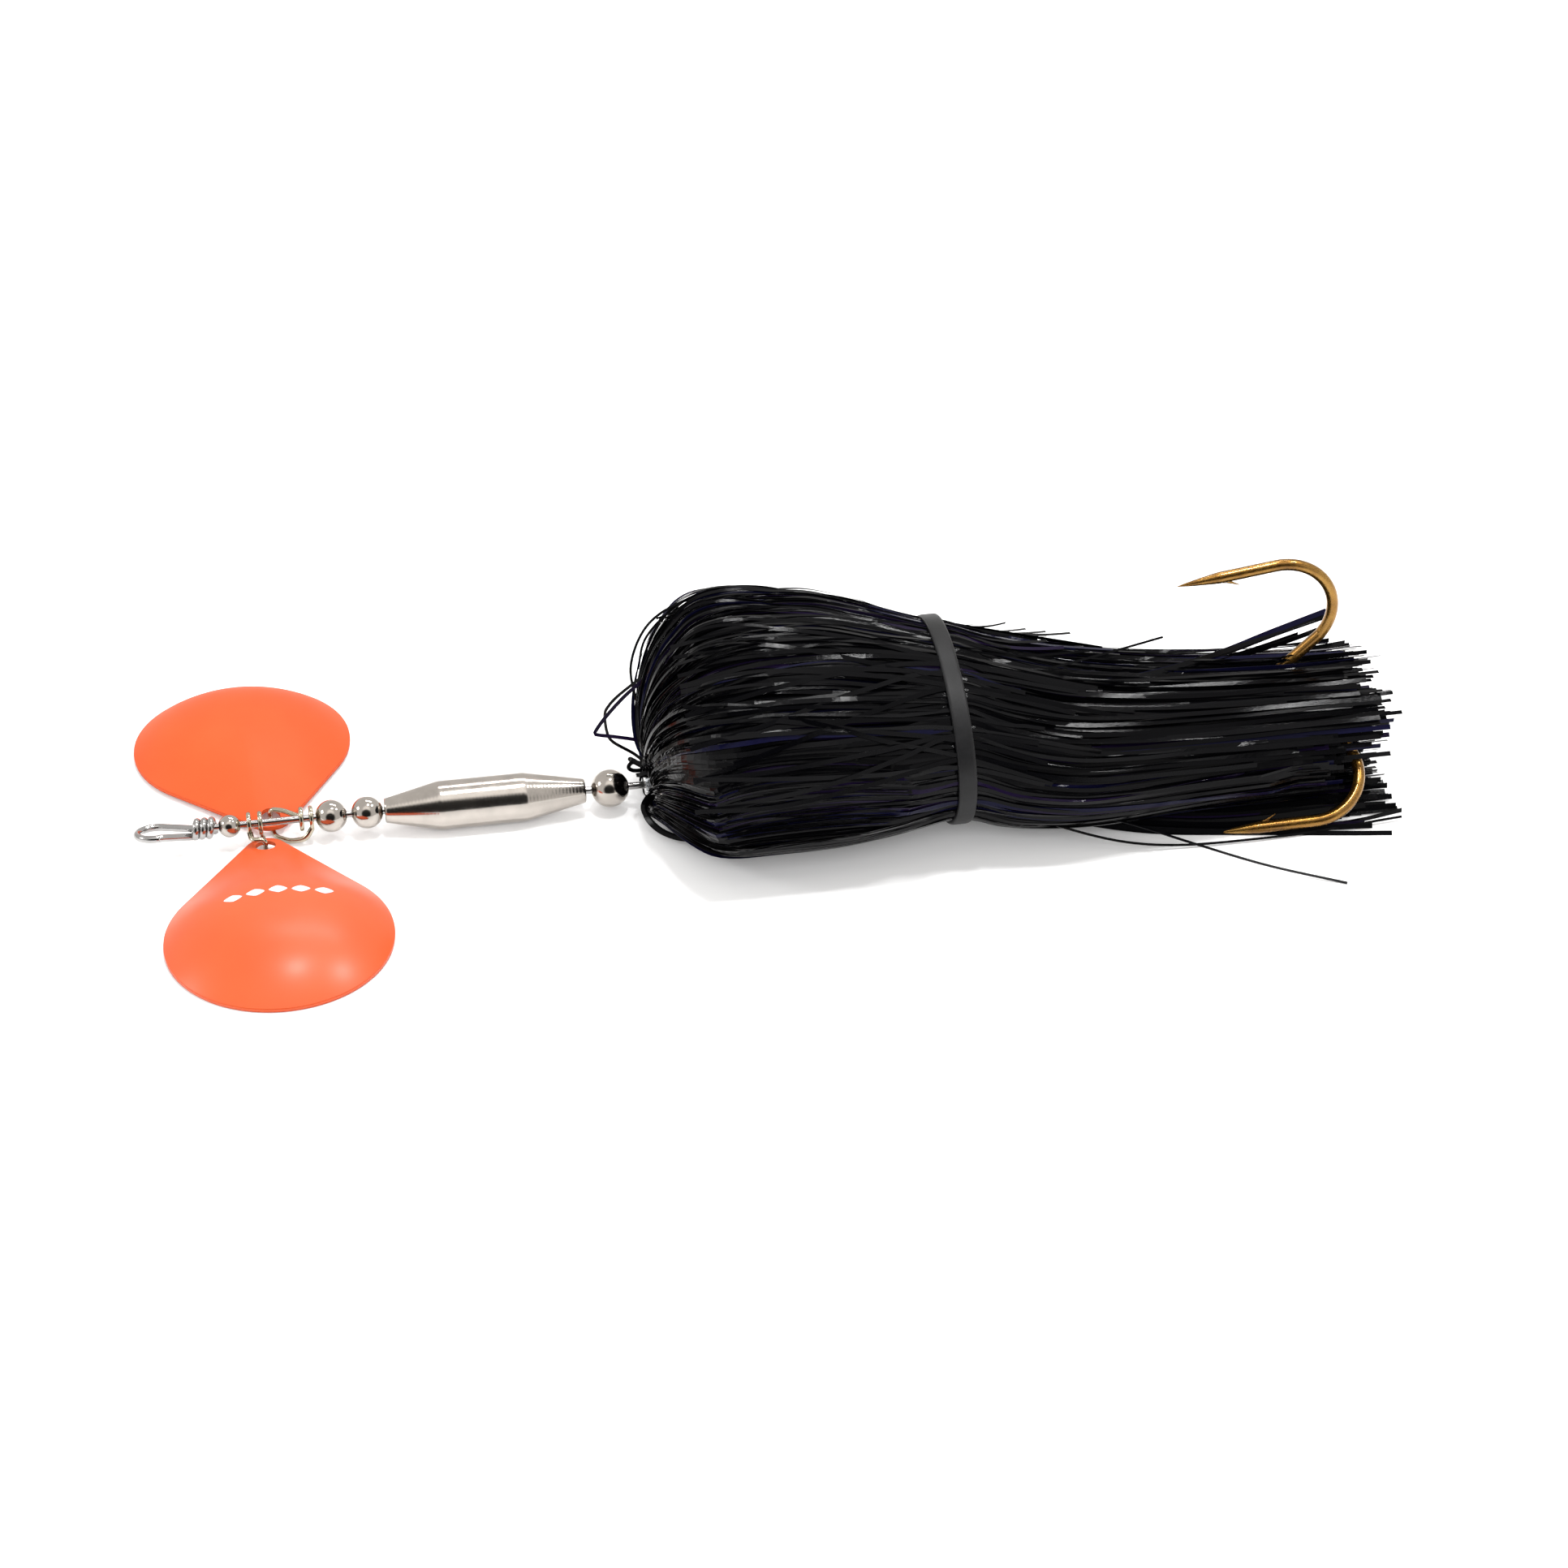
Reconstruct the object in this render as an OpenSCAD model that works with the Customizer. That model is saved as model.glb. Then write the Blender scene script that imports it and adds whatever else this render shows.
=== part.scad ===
// Inline spinner with two blades, a turned body, a tinsel skirt and a treble hook.
// The shaft runs along +X from the line-tie eye to the treble, and +Z is up.
// The origin is the centre of the line-tie eye; the lure lies on the plane z = -rest_drop.

/* [Shaft] */
// Diameter of the shaft wire
wire_d = 1.57; // [1.4:0.01:1.7]
// Radius of the line-tie eye, to the middle of the wire
eye_r = 3.85; // [3.7:0.05:4.2]
// Turn of the line-tie eye about the shaft
eye_turn = -16; // [-30:1:30]
// Radius of the barrel wraps, to the middle of the wire
wrap_r = 1.56; // [1.5:0.01:1.57]
// Number of wraps behind each eye
wrap_count = 3; // [2:1:3]

/* [Beads] */
// Diameter of the front bead
front_bead_d = 4.8; // [4.2:0.1:5.2]
// Diameter of the two middle beads
middle_bead_d = 6.8; // [6:0.1:7]
// Diameter of the large bead behind the body
rear_bead_d = 8.1; // [7:0.1:8.4]
// Diameter of the bearing bead inside the skirt
bearing_bead_d = 4; // [3.5:0.1:4.4]
// Radial clearance of anything that turns on the shaft
run_fit = 0.05; // [0.02:0.01:0.1]

/* [Body] */
// Largest diameter of the body
body_d = 10.4; // [9:0.1:10.4]
// Diameter of the body's ends
body_end_d = 5.1; // [4.5:0.1:6]
// Length of the body's front cone
body_front_len = 11.4; // [10:0.1:12]
// Length of the body's straight middle
body_mid_len = 18.2; // [16:0.1:19]
// Length of the body's rear cone
body_rear_len = 12.8; // [11:0.1:13]

/* [Blades] */
// Length of a blade
blade_len = 57.8; // [54:0.1:60]
// Width of a blade
blade_w = 46.5; // [44:0.1:48]
// Radius of a blade's tip
blade_tip_r = 4.6; // [4:0.1:5]
// Height of the blade's crown above its rim
blade_crown = 7.5; // [6:0.1:9]
// Thickness of the blade's sheet
blade_t = 0.9; // [0.8:0.05:1]
// Distance from the blade's tip to the middle of its hole
hole_inset = 3.6; // [3.4:0.1:4]
// Diameter of the blade's hole
hole_d = 4.2; // [3.8:0.1:4.4]

/* [Clevises] */
// Diameter of a clevis ear
ear_d = 5.2; // [4.8:0.1:5.4]
// Thickness of a clevis ear
ear_t = 0.7; // [0.6:0.05:0.8]
// Thickness of the clevis's bent leg
leg_d = 1; // [0.9:0.05:1]

/* [Skirt] */
// Outer diameter of the tube that the skirt is tied on
tube_d = 4.5; // [4.2:0.1:4.8]
// Outer diameter of the thread collar
collar_d = 7; // [6:0.1:8]
// Thickness of the layer of strands
strand_layer = 3.4; // [3:0.1:4]
// Width of the rubber band round the skirt
band_w = 4; // [3:0.5:5]
// Thickness of the rubber band
band_t = 1.2; // [1:0.1:1.5]

/* [Treble] */
// Diameter of the hook wire
hook_d = 2.5; // [2.3:0.05:2.5]
// Distance from the treble's axis to the hooks' point legs
hook_reach = 31.3; // [30.5:0.1:31.5]
// Radius of the bend
bend_r = 10.9; // [10.5:0.1:11]
// Distance from the treble's eye to the middle of the bend
bend_s = 51.7; // [50:0.1:53]
// Radius of the treble's eye, to the middle of the wire
treble_eye_r = 3.7; // [3.6:0.05:3.8]
// Rise of the treble's shank towards the rear
treble_rise = 7.6; // [7.4:0.1:7.8]
// Turn of the treble's shank towards the near side
treble_yaw = 4.5; // [4:0.1:5]
// Lean of the point legs towards the treble's axis
incurve = 2.9; // [2:0.1:3.5]

/* [Hidden] */
$fn = 48;

// Height of the eye's centre above the surface that the lure lies on
rest_drop = 5.2;
wire_r = wire_d / 2;
bore_r = wire_r + run_fit;
wrap_pitch = 1.5;
wrap_x = 8.6;
front_bead_x = 15.3;
middle_bead_x = [36.5, 44];
body_x = 47.6;
body_rear_x = body_x + body_front_len + body_mid_len + body_rear_len;
rear_bead_x = 95.3;
tube_x = [102.7, 160];
collar_x = [104.4, 107.6];
bearing_bead_x = 162.4;
rear_wrap_x = 166.2;
rear_eye_x = 177.5;
front_wrap_end = wrap_x + (wrap_count - 1) * wrap_pitch + wire_r;
rear_wrap_end = rear_wrap_x + (wrap_count - 1) * wrap_pitch + wire_r;

// The skirt's waist inside the band: middle y, middle z, half width and half height
band_x = 164.5;
waist = [-10, 16, 25.4, 19.6];
band_gap = 0.35;

// The ears of each clevis, and the hole of the blade that it carries
front_ears = [19.35, 21.65];
front_hole = [22.3, -5.1];
front_blade_yaw = 181;
rear_ears = [30.2, 32.3];
rear_hole = [24, 5.8];
rear_blade_yaw = 7.5;
blade_lift = 1.3;
leg_low = -4.6;
leg_corner = 1.2;

// Stations of the skirt: x, middle y, middle z, half width and half height
head_stations = [[101.5, -3, 4.6, 11, 9.6], [102.7, -6, 10, 19, 15.1], [105, -7.5, 13, 24, 18.2]];
bulb_stations = [[105.3, -7.5, 13, 24.4, 18], [108, -8, 15.2, 28, 20.2], [112, -8.5, 17, 31, 22.2],
    [118, -9, 18.2, 33.2, 23.3], [126, -9, 18.9, 34, 24], [138, -9.2, 18.6, 33.4, 23.6],
    [148, -9.6, 17.6, 30.4, 22.2], [156, -9.8, 16.6, 27.4, 20.8], [162, -10, 16, 25.4, 19.6],
    [167, -10, 15.4, 25.2, 19.2]];
tail_stations = [[167.3, -10, 15.3, 25.2, 19.1], [176, -10.6, 12.2, 25.8, 18.2],
    [188, -11.2, 10.2, 26, 16.4], [200, -11.5, 8.8, 26, 14.6], [212, -11.5, 7.4, 25.8, 12.7]];

// Thickness of the strands between the skirt's hollow and the surface below
floor_layer = 1;

// Where the split ring passes through the rear eye and through the treble's eye
ring_pass = [[179.2, 0, 0], [188.3, -3.2, 5.8]];
ring_mid = (ring_pass[0] + ring_pass[1]) / 2;
ring_r = norm(ring_pass[1] - ring_pass[0]) / 2;
treble_eye = [189.3, -3.5, 6.2];
shank_r = 1.48;
third_shank_r = 1.5;
shank_start = 9;
leg_angle = 38;
flare_r = 8;
point_leg = 21;
point_len = 9;
tip_r = 0.25;

function unit(v) = v / norm(v);

// Direction of a path at one of its points
function tangent(p, i) = unit(p[min(i + 1, len(p) - 1)] - p[max(i - 1, 0)]);

// A direction across t, as near to n as it can be
function across(n, t) = unit(n - (n * t) * t);

// A path through a few points, with each corner rounded from a distance r before it
function rounded(p, r, steps = 4) =
    let (last = len(p) - 1)
    concat([p[0]],
        [for (i = [1 : last - 1], k = [0 : steps])
            let (u = k / steps,
                a = p[i] + min(r, norm(p[i - 1] - p[i]) * 0.48) * unit(p[i - 1] - p[i]),
                c = p[i] + min(r, norm(p[i + 1] - p[i]) * 0.48) * unit(p[i + 1] - p[i]))
            (1 - u) * (1 - u) * a + 2 * u * (1 - u) * p[i] + u * u * c],
        [p[last]]);

// Round wire swept along a path; radii gives its radius at each point
module wire_sweep(path, radii, sides = 14)
{
    n = len(path);
    t0 = tangent(path, 0);
    n0 = across(abs(t0.z) < 0.9 ? [0, 0, 1] : [1, 0, 0], t0);
    normals = [for (i = 0, v = n0; i < n; i = i + 1, v = i < n ? across(v, tangent(path, i)) : v) v];
    points = [for (i = [0 : n - 1], j = [0 : sides - 1])
        let (a = 360 * j / sides, w = cross(tangent(path, i), normals[i]))
        path[i] + radii[i] * (cos(a) * normals[i] + sin(a) * w)];
    walls = [for (i = [0 : n - 2], j = [0 : sides - 1])
        let (k = (j + 1) % sides)
        [i * sides + j, (i + 1) * sides + j, (i + 1) * sides + k, i * sides + k]];
    ends = [[for (j = [0 : sides - 1]) j], [for (j = [sides - 1 : -1 : 0]) (n - 1) * sides + j]];
    polyhedron(points, concat(walls, ends));
}

// Round wire of one radius along a path
module even_wire(path, r, sides = 14)
    wire_sweep(path, [for (p = path) r], sides);

// A bore or a disc along the shaft
module along_x(x, r, h)
    translate([x, 0, 0])
        rotate([0, 90, 0])
            cylinder(r = r, h = h);

// A teardrop eye in the XY plane, closing towards +X on the wraps at distance reach
module teardrop_eye(reach)
{
    // The straight sides leave the round part at this angle from +X
    touch = acos(eye_r / reach) - 4;
    foot = wire_r * 0.8;
    path = concat([[reach, foot, 0]],
        [for (a = [touch : (360 - 2 * touch) / 26 : 360 - touch + 0.01])
            [eye_r * cos(a), eye_r * sin(a), 0]],
        [[reach, -foot, 0]]);
    even_wire(path, wire_r);
}

// Half outline of the barrel wraps that start at x
function wrap_outline(x) =
    let (low = 62)
    [for (i = [0 : wrap_count - 1], a = [180 - low : -15.5 : low - 0.01])
        [wrap_r + wire_r * sin(a), x + i * wrap_pitch + wire_r * cos(a)]];

module shaft_wire()
    color("silver")
    {
        rotate([eye_turn, 0, 0])
            teardrop_eye(wrap_x);
        rotate([0, 90, 0])
            rotate_extrude()
                polygon(concat([[0, wrap_x - wire_r], [wrap_r, wrap_x - wire_r]],
                    wrap_outline(wrap_x),
                    [[wire_r, front_wrap_end], [wire_r, rear_wrap_x - wire_r]],
                    wrap_outline(rear_wrap_x),
                    [[wrap_r, rear_wrap_end], [0, rear_wrap_end]]));
        translate([rear_eye_x, 0, 0])
            rotate([0, 0, 180])
                teardrop_eye(rear_eye_x - rear_wrap_end + wire_r);
    }

// A bead bored for the shaft
module bead(x, d)
    color("silver")
        difference()
        {
            translate([x, 0, 0])
                sphere(d = d, $fn = 64);
            along_x(x - d, bore_r, 2 * d);
        }

// One ear of a clevis, bored for the shaft
module ear(x)
    difference()
    {
        along_x(x - ear_t / 2, ear_d / 2, ear_t);
        along_x(x - ear_t, bore_r, 2 * ear_t);
    }

// A folded clevis: two ears, and a leg that runs over the blade, down its hole and back under its tip
module clevis(ears, over, hole, under)
    color("silver")
    {
        ear(ears[0]);
        ear(ears[1]);
        top = [hole.x, hole.y, -0.7];
        bottom = [hole.x, hole.y, leg_low];
        even_wire(rounded(concat(over, [top, bottom], under), leg_corner), leg_d / 2, 12);
    }

module front_clevis()
    clevis(front_ears,
        [[front_ears[0], -2, -0.9], [19.6, -4.9, -0.8]],
        front_hole,
        [[22.3, -0.6, leg_low], [front_ears[1], -0.4, -2.2]]);

module rear_clevis()
    clevis(rear_ears,
        [[rear_ears[0], 2, -0.9], [26.6, 4.8, -0.6]],
        rear_hole,
        [[24.7, 1.1, leg_low], [27.6, -1.4, -4.4], [30.8, -2.6, -3.4], [rear_ears[1], -1.7, -1.4]]);

// Distance from the middle of the blade's round part to its outline, at an angle from the tip
function blade_reach(a) =
    let (r = blade_w / 2,
        far = blade_len - r - blade_tip_r,
        side = acos((r - blade_tip_r) / far),
        tip = atan2(blade_tip_r * sin(side), far + blade_tip_r * cos(side)))
    abs(a) >= side ? r
    : abs(a) >= tip ? r / cos(side - abs(a))
    : far * cos(a) + sqrt(pow(blade_tip_r, 2) - pow(far * sin(a), 2));

// A cupped blade, its hole at the origin, its rim on z = 0 and its round end towards +Y
module blade()
{
    rings = 9;
    steps = 56;
    middle = blade_len - blade_w / 2 - hole_inset;
    // Closer steps near the tip, where the outline turns fastest
    function step_angle(j) = let (u = 2 * j / steps - 1) 180 * u * pow(abs(u), 0.6);
    // Height of the skin above the rim; the dome flattens out towards the tip
    function height(s, y) =
        let (t = min(1, max(0, (middle - y - 6) / 26)))
        blade_crown * (1 - pow(s, 2.5)) * (1 - 0.6 * t * t * (3 - 2 * t));
    function skin(z) =
        [for (i = [1 : rings], j = [0 : steps - 1])
            let (s = sin(90 * i / rings), a = step_angle(j), r = s * blade_reach(a),
                y = middle - r * cos(a))
            [r * sin(a), y, z + height(s, y)]];
    points = concat(skin(blade_t), skin(0),
        [[0, middle, blade_crown + blade_t], [0, middle, blade_crown]]);
    low = rings * steps;
    // Index of a point on one skin
    function at(base, i, j) = base + i * steps + (j + steps) % steps;
    top_faces = [for (i = [0 : rings - 2], j = [0 : steps - 1])
        [at(0, i, j), at(0, i, j + 1), at(0, i + 1, j + 1), at(0, i + 1, j)]];
    low_faces = [for (i = [0 : rings - 2], j = [0 : steps - 1])
        [at(low, i, j), at(low, i + 1, j), at(low, i + 1, j + 1), at(low, i, j + 1)]];
    rim_faces = [for (j = [0 : steps - 1])
        [at(0, rings - 1, j), at(0, rings - 1, j + 1), at(low, rings - 1, j + 1), at(low, rings - 1, j)]];
    top_cap = [for (j = [0 : steps - 1]) [2 * low, at(0, 0, j + 1), at(0, 0, j)]];
    low_cap = [for (j = [0 : steps - 1]) [2 * low + 1, at(low, 0, j), at(low, 0, j + 1)]];
    difference()
    {
        polyhedron(points, concat(top_faces, low_faces, rim_faces, top_cap, low_cap));
        translate([0, 0, -5])
            cylinder(d = hole_d, h = 15);
    }
}

// A blade hung at a hole, turned about it and resting on its round end
module hung_blade(hole, yaw)
    translate([hole.x, hole.y, blade_lift - rest_drop])
        rotate([0, 0, yaw])
            rotate([-asin(blade_lift / blade_len), 0, 0])
                translate([0, 0, 0.05])
                    blade();

module front_blade()
    color("coral")
        hung_blade(front_hole, front_blade_yaw);

module rear_blade()
    color("coral")
        hung_blade(rear_hole, rear_blade_yaw);

module body_weight()
    color("silver")
        difference()
        {
            translate([body_x, 0, 0])
                rotate([0, 90, 0])
                    rotate_extrude($fn = 96)
                        body_profile();
            along_x(body_x - 1, bore_r, body_rear_x - body_x + 2);
        }

// Half outline of the body, with a small recess in its rear face
module body_profile()
{
    end_r = body_end_d / 2;
    recess_r = end_r - 0.6;
    recess = 0.8;
    rear = body_rear_x - body_x;
    polygon([[0, 0], [end_r, 0], [body_d / 2, body_front_len],
        [body_d / 2, body_front_len + body_mid_len], [end_r, rear], [recess_r, rear],
        [recess_r, rear - recess], [0, rear - recess]]);
}

module skirt_tube()
    color("whitesmoke")
        difference()
        {
            along_x(tube_x[0], tube_d / 2, tube_x[1] - tube_x[0]);
            along_x(tube_x[0] - 1, wire_r, tube_x[1] - tube_x[0] + 2);
        }

module thread_collar()
    color("black")
        difference()
        {
            translate([collar_x[0], 0, 0])
                rotate([0, 90, 0])
                    rotate_extrude()
                        collar_profile();
            along_x(collar_x[0] - 1, tube_d / 2, 6);
        }

// Half outline of the collar: a low barrel of thread
module collar_profile()
{
    width = collar_x[1] - collar_x[0];
    polygon([for (a = [0 : 15 : 180])
        [collar_d / 2 - 0.5 + 0.5 * sin(a), width / 2 - width / 2 * cos(a)],
        [0, width], [0, 0]]);
}

// Points of one oval section of the skirt. Its far lower side is full, so that the shaft runs inside it,
// and it is flattened where it lies on the surface below
function section(st, inset, steps) =
    let (full_from = 250, full_over = 40)
    [for (j = [0 : steps - 1])
        let (a = 360 * j / steps,
            low_inset = min(inset, floor_layer),
            half_z = st[4] - (sin(a) < 0 ? low_inset : inset),
            full = 1 + 0.8 * min(1, max(0, (a - full_from) / full_over)),
            y = st[1] + (st[3] - inset) * cos(a),
            z = st[2] + half_z * max(-1, sin(a) * full))
        [st[0], y, max(z, low_inset - rest_drop)]];

// A sleeve through oval sections, thickness thick, grown outwards by grow
module sleeve(stations, thick, grow = 0, steps = 36)
{
    n = len(stations);
    points = concat(
        [for (st = stations) each section(st, -grow, steps)],
        [for (st = stations) each section(st, thick - grow, steps)]);
    inner = n * steps;
    function at(base, i, j) = base + i * steps + (j + steps) % steps;
    faces = concat(
        [for (i = [0 : n - 2], j = [0 : steps - 1])
            [at(0, i, j), at(0, i, j + 1), at(0, i + 1, j + 1), at(0, i + 1, j)]],
        [for (i = [0 : n - 2], j = [0 : steps - 1])
            [at(inner, i, j), at(inner, i + 1, j), at(inner, i + 1, j + 1), at(inner, i, j + 1)]],
        [for (j = [0 : steps - 1])
            [at(0, 0, j + 1), at(0, 0, j), at(inner, 0, j), at(inner, 0, j + 1)]],
        [for (j = [0 : steps - 1])
            [at(0, n - 1, j), at(0, n - 1, j + 1), at(inner, n - 1, j + 1), at(inner, n - 1, j)]]);
    polyhedron(points, faces);
}

module skirt_head()
    color("midnightblue")
        sleeve(head_stations, strand_layer);

module skirt_bulb()
    color("black")
        sleeve(bulb_stations, strand_layer);

module skirt_tail()
    color("black")
        sleeve(tail_stations, strand_layer);

// The rubber band round the skirt's waist
module retaining_band()
    color("dimgray")
        sleeve([for (x = [band_x - band_w / 2, band_x + band_w / 2]) concat([x], waist)],
            band_t, band_t + band_gap);

module bearing_bead()
    bead(bearing_bead_x, bearing_bead_d);

// A split ring standing on edge, seen as two turns of flat wire
module split_ring()
    color("silver")
        translate(ring_mid)
            rotate([90, 0, atan2(ring_pass[1].y, ring_pass[1].x - ring_pass[0].x)])
                rotate_extrude($fn = 64)
                    translate([ring_r, 0])
                        ring_section();

// Two turns of round wire side by side
module ring_section()
{
    turn_d = 1.05;
    for (s = [-1, 1])
        translate([0, s * turn_d * 0.46])
            circle(d = turn_d);
}

// Places a child drawn along +X with its hook towards +Z onto the treble's shank
module on_treble(angle)
    translate(treble_eye)
        rotate([0, -treble_rise, -treble_yaw])
            rotate([angle, 0, 0])
                children();

// Points of an arc in the XZ plane
function arc_points(middle, radius, from, sweep, steps) =
    [for (k = [0 : steps])
        let (a = from + sweep * k / steps)
        [middle.x + radius * cos(a), 0, middle.y + radius * sin(a)]];

// Path of one hook in the XZ plane, its shank at height base, from the shank to the point
function hook_path(base, start) =
    let (bend_z = hook_reach - bend_r,
        leg_end = [bend_s + bend_r * sin(leg_angle), bend_z - bend_r * cos(leg_angle)],
        rise = flare_r * (1 - cos(leg_angle)),
        leg_start = leg_end.x - (leg_end.y - base - rise) / tan(leg_angle),
        flare_s = leg_start - flare_r * sin(leg_angle))
    concat([[start, 0, base]],
        arc_points([flare_s, base + flare_r], flare_r, -90, leg_angle, 6),
        arc_points([bend_s, bend_z], bend_r, leg_angle - 90, 180 - leg_angle + incurve, 16),
        [for (k = [1, 0.6, 0.25, 0]) on_point_leg(point_leg - k * point_len, 0)]);

// A point on the point leg, a distance d past the bend and a height h off its middle
function on_point_leg(d, h) =
    [bend_s - (bend_r + h) * sin(incurve) - d * cos(incurve), 0,
    hook_reach - bend_r + (bend_r + h) * cos(incurve) - d * sin(incurve)];

// Radius of the hook wire along a hook path: full, and then tapered to the point
function hook_radii(count) =
    let (r = hook_d / 2)
    [for (i = [1 : count])
        i <= count - 3 ? r : i == count - 2 ? r * 0.78 : i == count - 1 ? r * 0.5 : tip_r];

// The same points turned about the treble's axis
function turned(points, angle) =
    [for (p = points) [p.x, p.y * cos(angle) - p.z * sin(angle), p.y * sin(angle) + p.z * cos(angle)]];

function reversed(list) = [for (i = [len(list) - 1 : -1 : 0]) list[i]];

// The barb on the inner side of a point, in the plane of its hook
module barb()
    wire_sweep([on_point_leg(point_leg - point_len + 0.5, -0.2),
            on_point_leg(point_leg - point_len - 5, -3)],
        [0.75, tip_r], 6);

module double_hook()
    color("darkgoldenrod")
    {
        one = hook_path(shank_r, shank_start);
        gap = 24;
        eye = [for (a = [gap : (360 - 2 * gap) / 22 : 360 - gap + 0.01])
            [treble_eye_r * cos(a), treble_eye_r * sin(a), 0]];
        near = turned(one, 120);
        far = turned(one, -120);
        radii = hook_radii(len(one));
        on_treble(0)
            wire_sweep(concat(reversed(far), eye, near),
                concat(reversed(radii), [for (p = eye) hook_d / 2], radii));
        for (angle = [120, -120])
            on_treble(angle)
                barb();
    }

module third_hook()
    color("darkgoldenrod")
        on_treble(0)
        {
            path = hook_path(third_shank_r, shank_start + 2);
            wire_sweep(path, hook_radii(len(path)));
            barb();
        }

shaft_wire();
bead(front_bead_x, front_bead_d);  // front_bead
front_clevis();
front_blade();
rear_clevis();
rear_blade();
bead(middle_bead_x[0], middle_bead_d);  // middle_bead_front
bead(middle_bead_x[1], middle_bead_d);  // middle_bead_rear
body_weight();
bead(rear_bead_x, rear_bead_d);  // rear_bead
skirt_tube();
thread_collar();
skirt_head();
skirt_bulb();
retaining_band();
skirt_tail();
bearing_bead();
split_ring();
double_hook();
third_hook();
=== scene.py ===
import math
import bpy
import numpy as np
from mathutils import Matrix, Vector


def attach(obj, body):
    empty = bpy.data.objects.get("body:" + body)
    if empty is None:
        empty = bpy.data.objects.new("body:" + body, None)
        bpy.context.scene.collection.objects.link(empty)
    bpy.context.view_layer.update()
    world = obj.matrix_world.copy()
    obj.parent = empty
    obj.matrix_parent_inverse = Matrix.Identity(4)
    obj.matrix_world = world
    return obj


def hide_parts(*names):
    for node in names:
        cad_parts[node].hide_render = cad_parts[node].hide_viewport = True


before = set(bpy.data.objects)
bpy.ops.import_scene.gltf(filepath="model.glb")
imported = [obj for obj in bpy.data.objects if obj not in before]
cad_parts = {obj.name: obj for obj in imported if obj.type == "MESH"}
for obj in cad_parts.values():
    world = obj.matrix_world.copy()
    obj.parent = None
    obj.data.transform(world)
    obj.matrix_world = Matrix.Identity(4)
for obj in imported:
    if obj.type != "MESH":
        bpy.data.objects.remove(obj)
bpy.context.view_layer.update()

MM = 0.001
FLOOR_Z = -5.2
WIRE_R = 0.785
scene = bpy.context.scene
scene.view_settings.view_transform = "Standard"

# Camera.
TARGET = Vector((0.1318, -0.005, 0.0))
CAM_AZ, CAM_EL, CAM_DIST = math.radians(-10.18), math.radians(34.0), 0.830
CAM_DIR = Vector((math.sin(CAM_AZ) * math.cos(CAM_EL),
                  -math.cos(CAM_AZ) * math.cos(CAM_EL), math.sin(CAM_EL)))
cam_data = bpy.data.cameras.new("camera")
cam_data.lens = 90.02
cam_data.sensor_width = 36
cam_data.clip_start = 0.05
cam_data.clip_end = 20
camera = bpy.data.objects.new("camera", cam_data)
scene.collection.objects.link(camera)
camera.location = TARGET + CAM_DIR * CAM_DIST
camera.rotation_mode = "QUATERNION"
camera.rotation_quaternion = (-CAM_DIR).to_track_quat("-Z", "Y")
scene.camera = camera


# Node helpers.
class Nodes:
    """A new node material with a few shortcuts."""

    def __init__(self, name):
        self.mat = bpy.data.materials.new(name)
        self.mat.use_nodes = True
        self.tree = self.mat.node_tree
        self.bsdf = self.tree.nodes["Principled BSDF"]

    def add(self, kind, **settings):
        node = self.tree.nodes.new(kind)
        for key, value in settings.items():
            setattr(node, key, value)
        return node

    def link(self, a, b):
        self.tree.links.new(a, b)

    def put(self, **values):
        for key, value in values.items():
            self.bsdf.inputs[key.replace("_", " ")].default_value = value

    def coords(self, kind="Object", scale=(1, 1, 1)):
        tex = self.add("ShaderNodeTexCoord")
        mapping = self.add("ShaderNodeMapping")
        mapping.inputs["Scale"].default_value = scale
        self.link(tex.outputs[kind], mapping.inputs["Vector"])
        return mapping.outputs["Vector"]

    def noise(self, vector, scale, detail):
        node = self.add("ShaderNodeTexNoise")
        node.inputs["Scale"].default_value = scale
        node.inputs["Detail"].default_value = detail
        node.inputs["Roughness"].default_value = 0.55
        self.link(vector, node.inputs["Vector"])
        return node.outputs["Fac"]

    def ramp(self, fac, stops):
        node = self.add("ShaderNodeValToRGB")
        ramp = node.color_ramp
        while len(ramp.elements) < len(stops):
            ramp.elements.new(0.5)
        for element, (place, colour) in zip(ramp.elements, stops):
            element.position = place
            element.color = (*colour, 1)
        self.link(fac, node.inputs["Fac"])
        return node.outputs["Color"]

    def span(self, fac, low, high, from_low=0.0, from_high=1.0):
        node = self.add("ShaderNodeMapRange")
        node.inputs["From Min"].default_value = from_low
        node.inputs["From Max"].default_value = from_high
        node.inputs["To Min"].default_value = low
        node.inputs["To Max"].default_value = high
        self.link(fac, node.inputs["Value"])
        return node.outputs["Result"]

    def multiply(self, a, b, amount):
        node = self.add("ShaderNodeMix", data_type="RGBA", blend_type="MULTIPLY")
        node.inputs["Factor"].default_value = amount
        self.link(a, node.inputs[6])
        self.link(b, node.inputs[7])
        return node.outputs[2]

    def bump(self, height, strength, distance):
        node = self.add("ShaderNodeBump")
        node.inputs["Strength"].default_value = strength
        node.inputs["Distance"].default_value = distance
        self.link(height, node.inputs["Height"])
        self.link(node.outputs["Normal"], self.bsdf.inputs["Normal"])

    def colour(self, socket):
        self.link(socket, self.bsdf.inputs["Base Color"])

    def roughness(self, socket):
        self.link(socket, self.bsdf.inputs["Roughness"])


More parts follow.
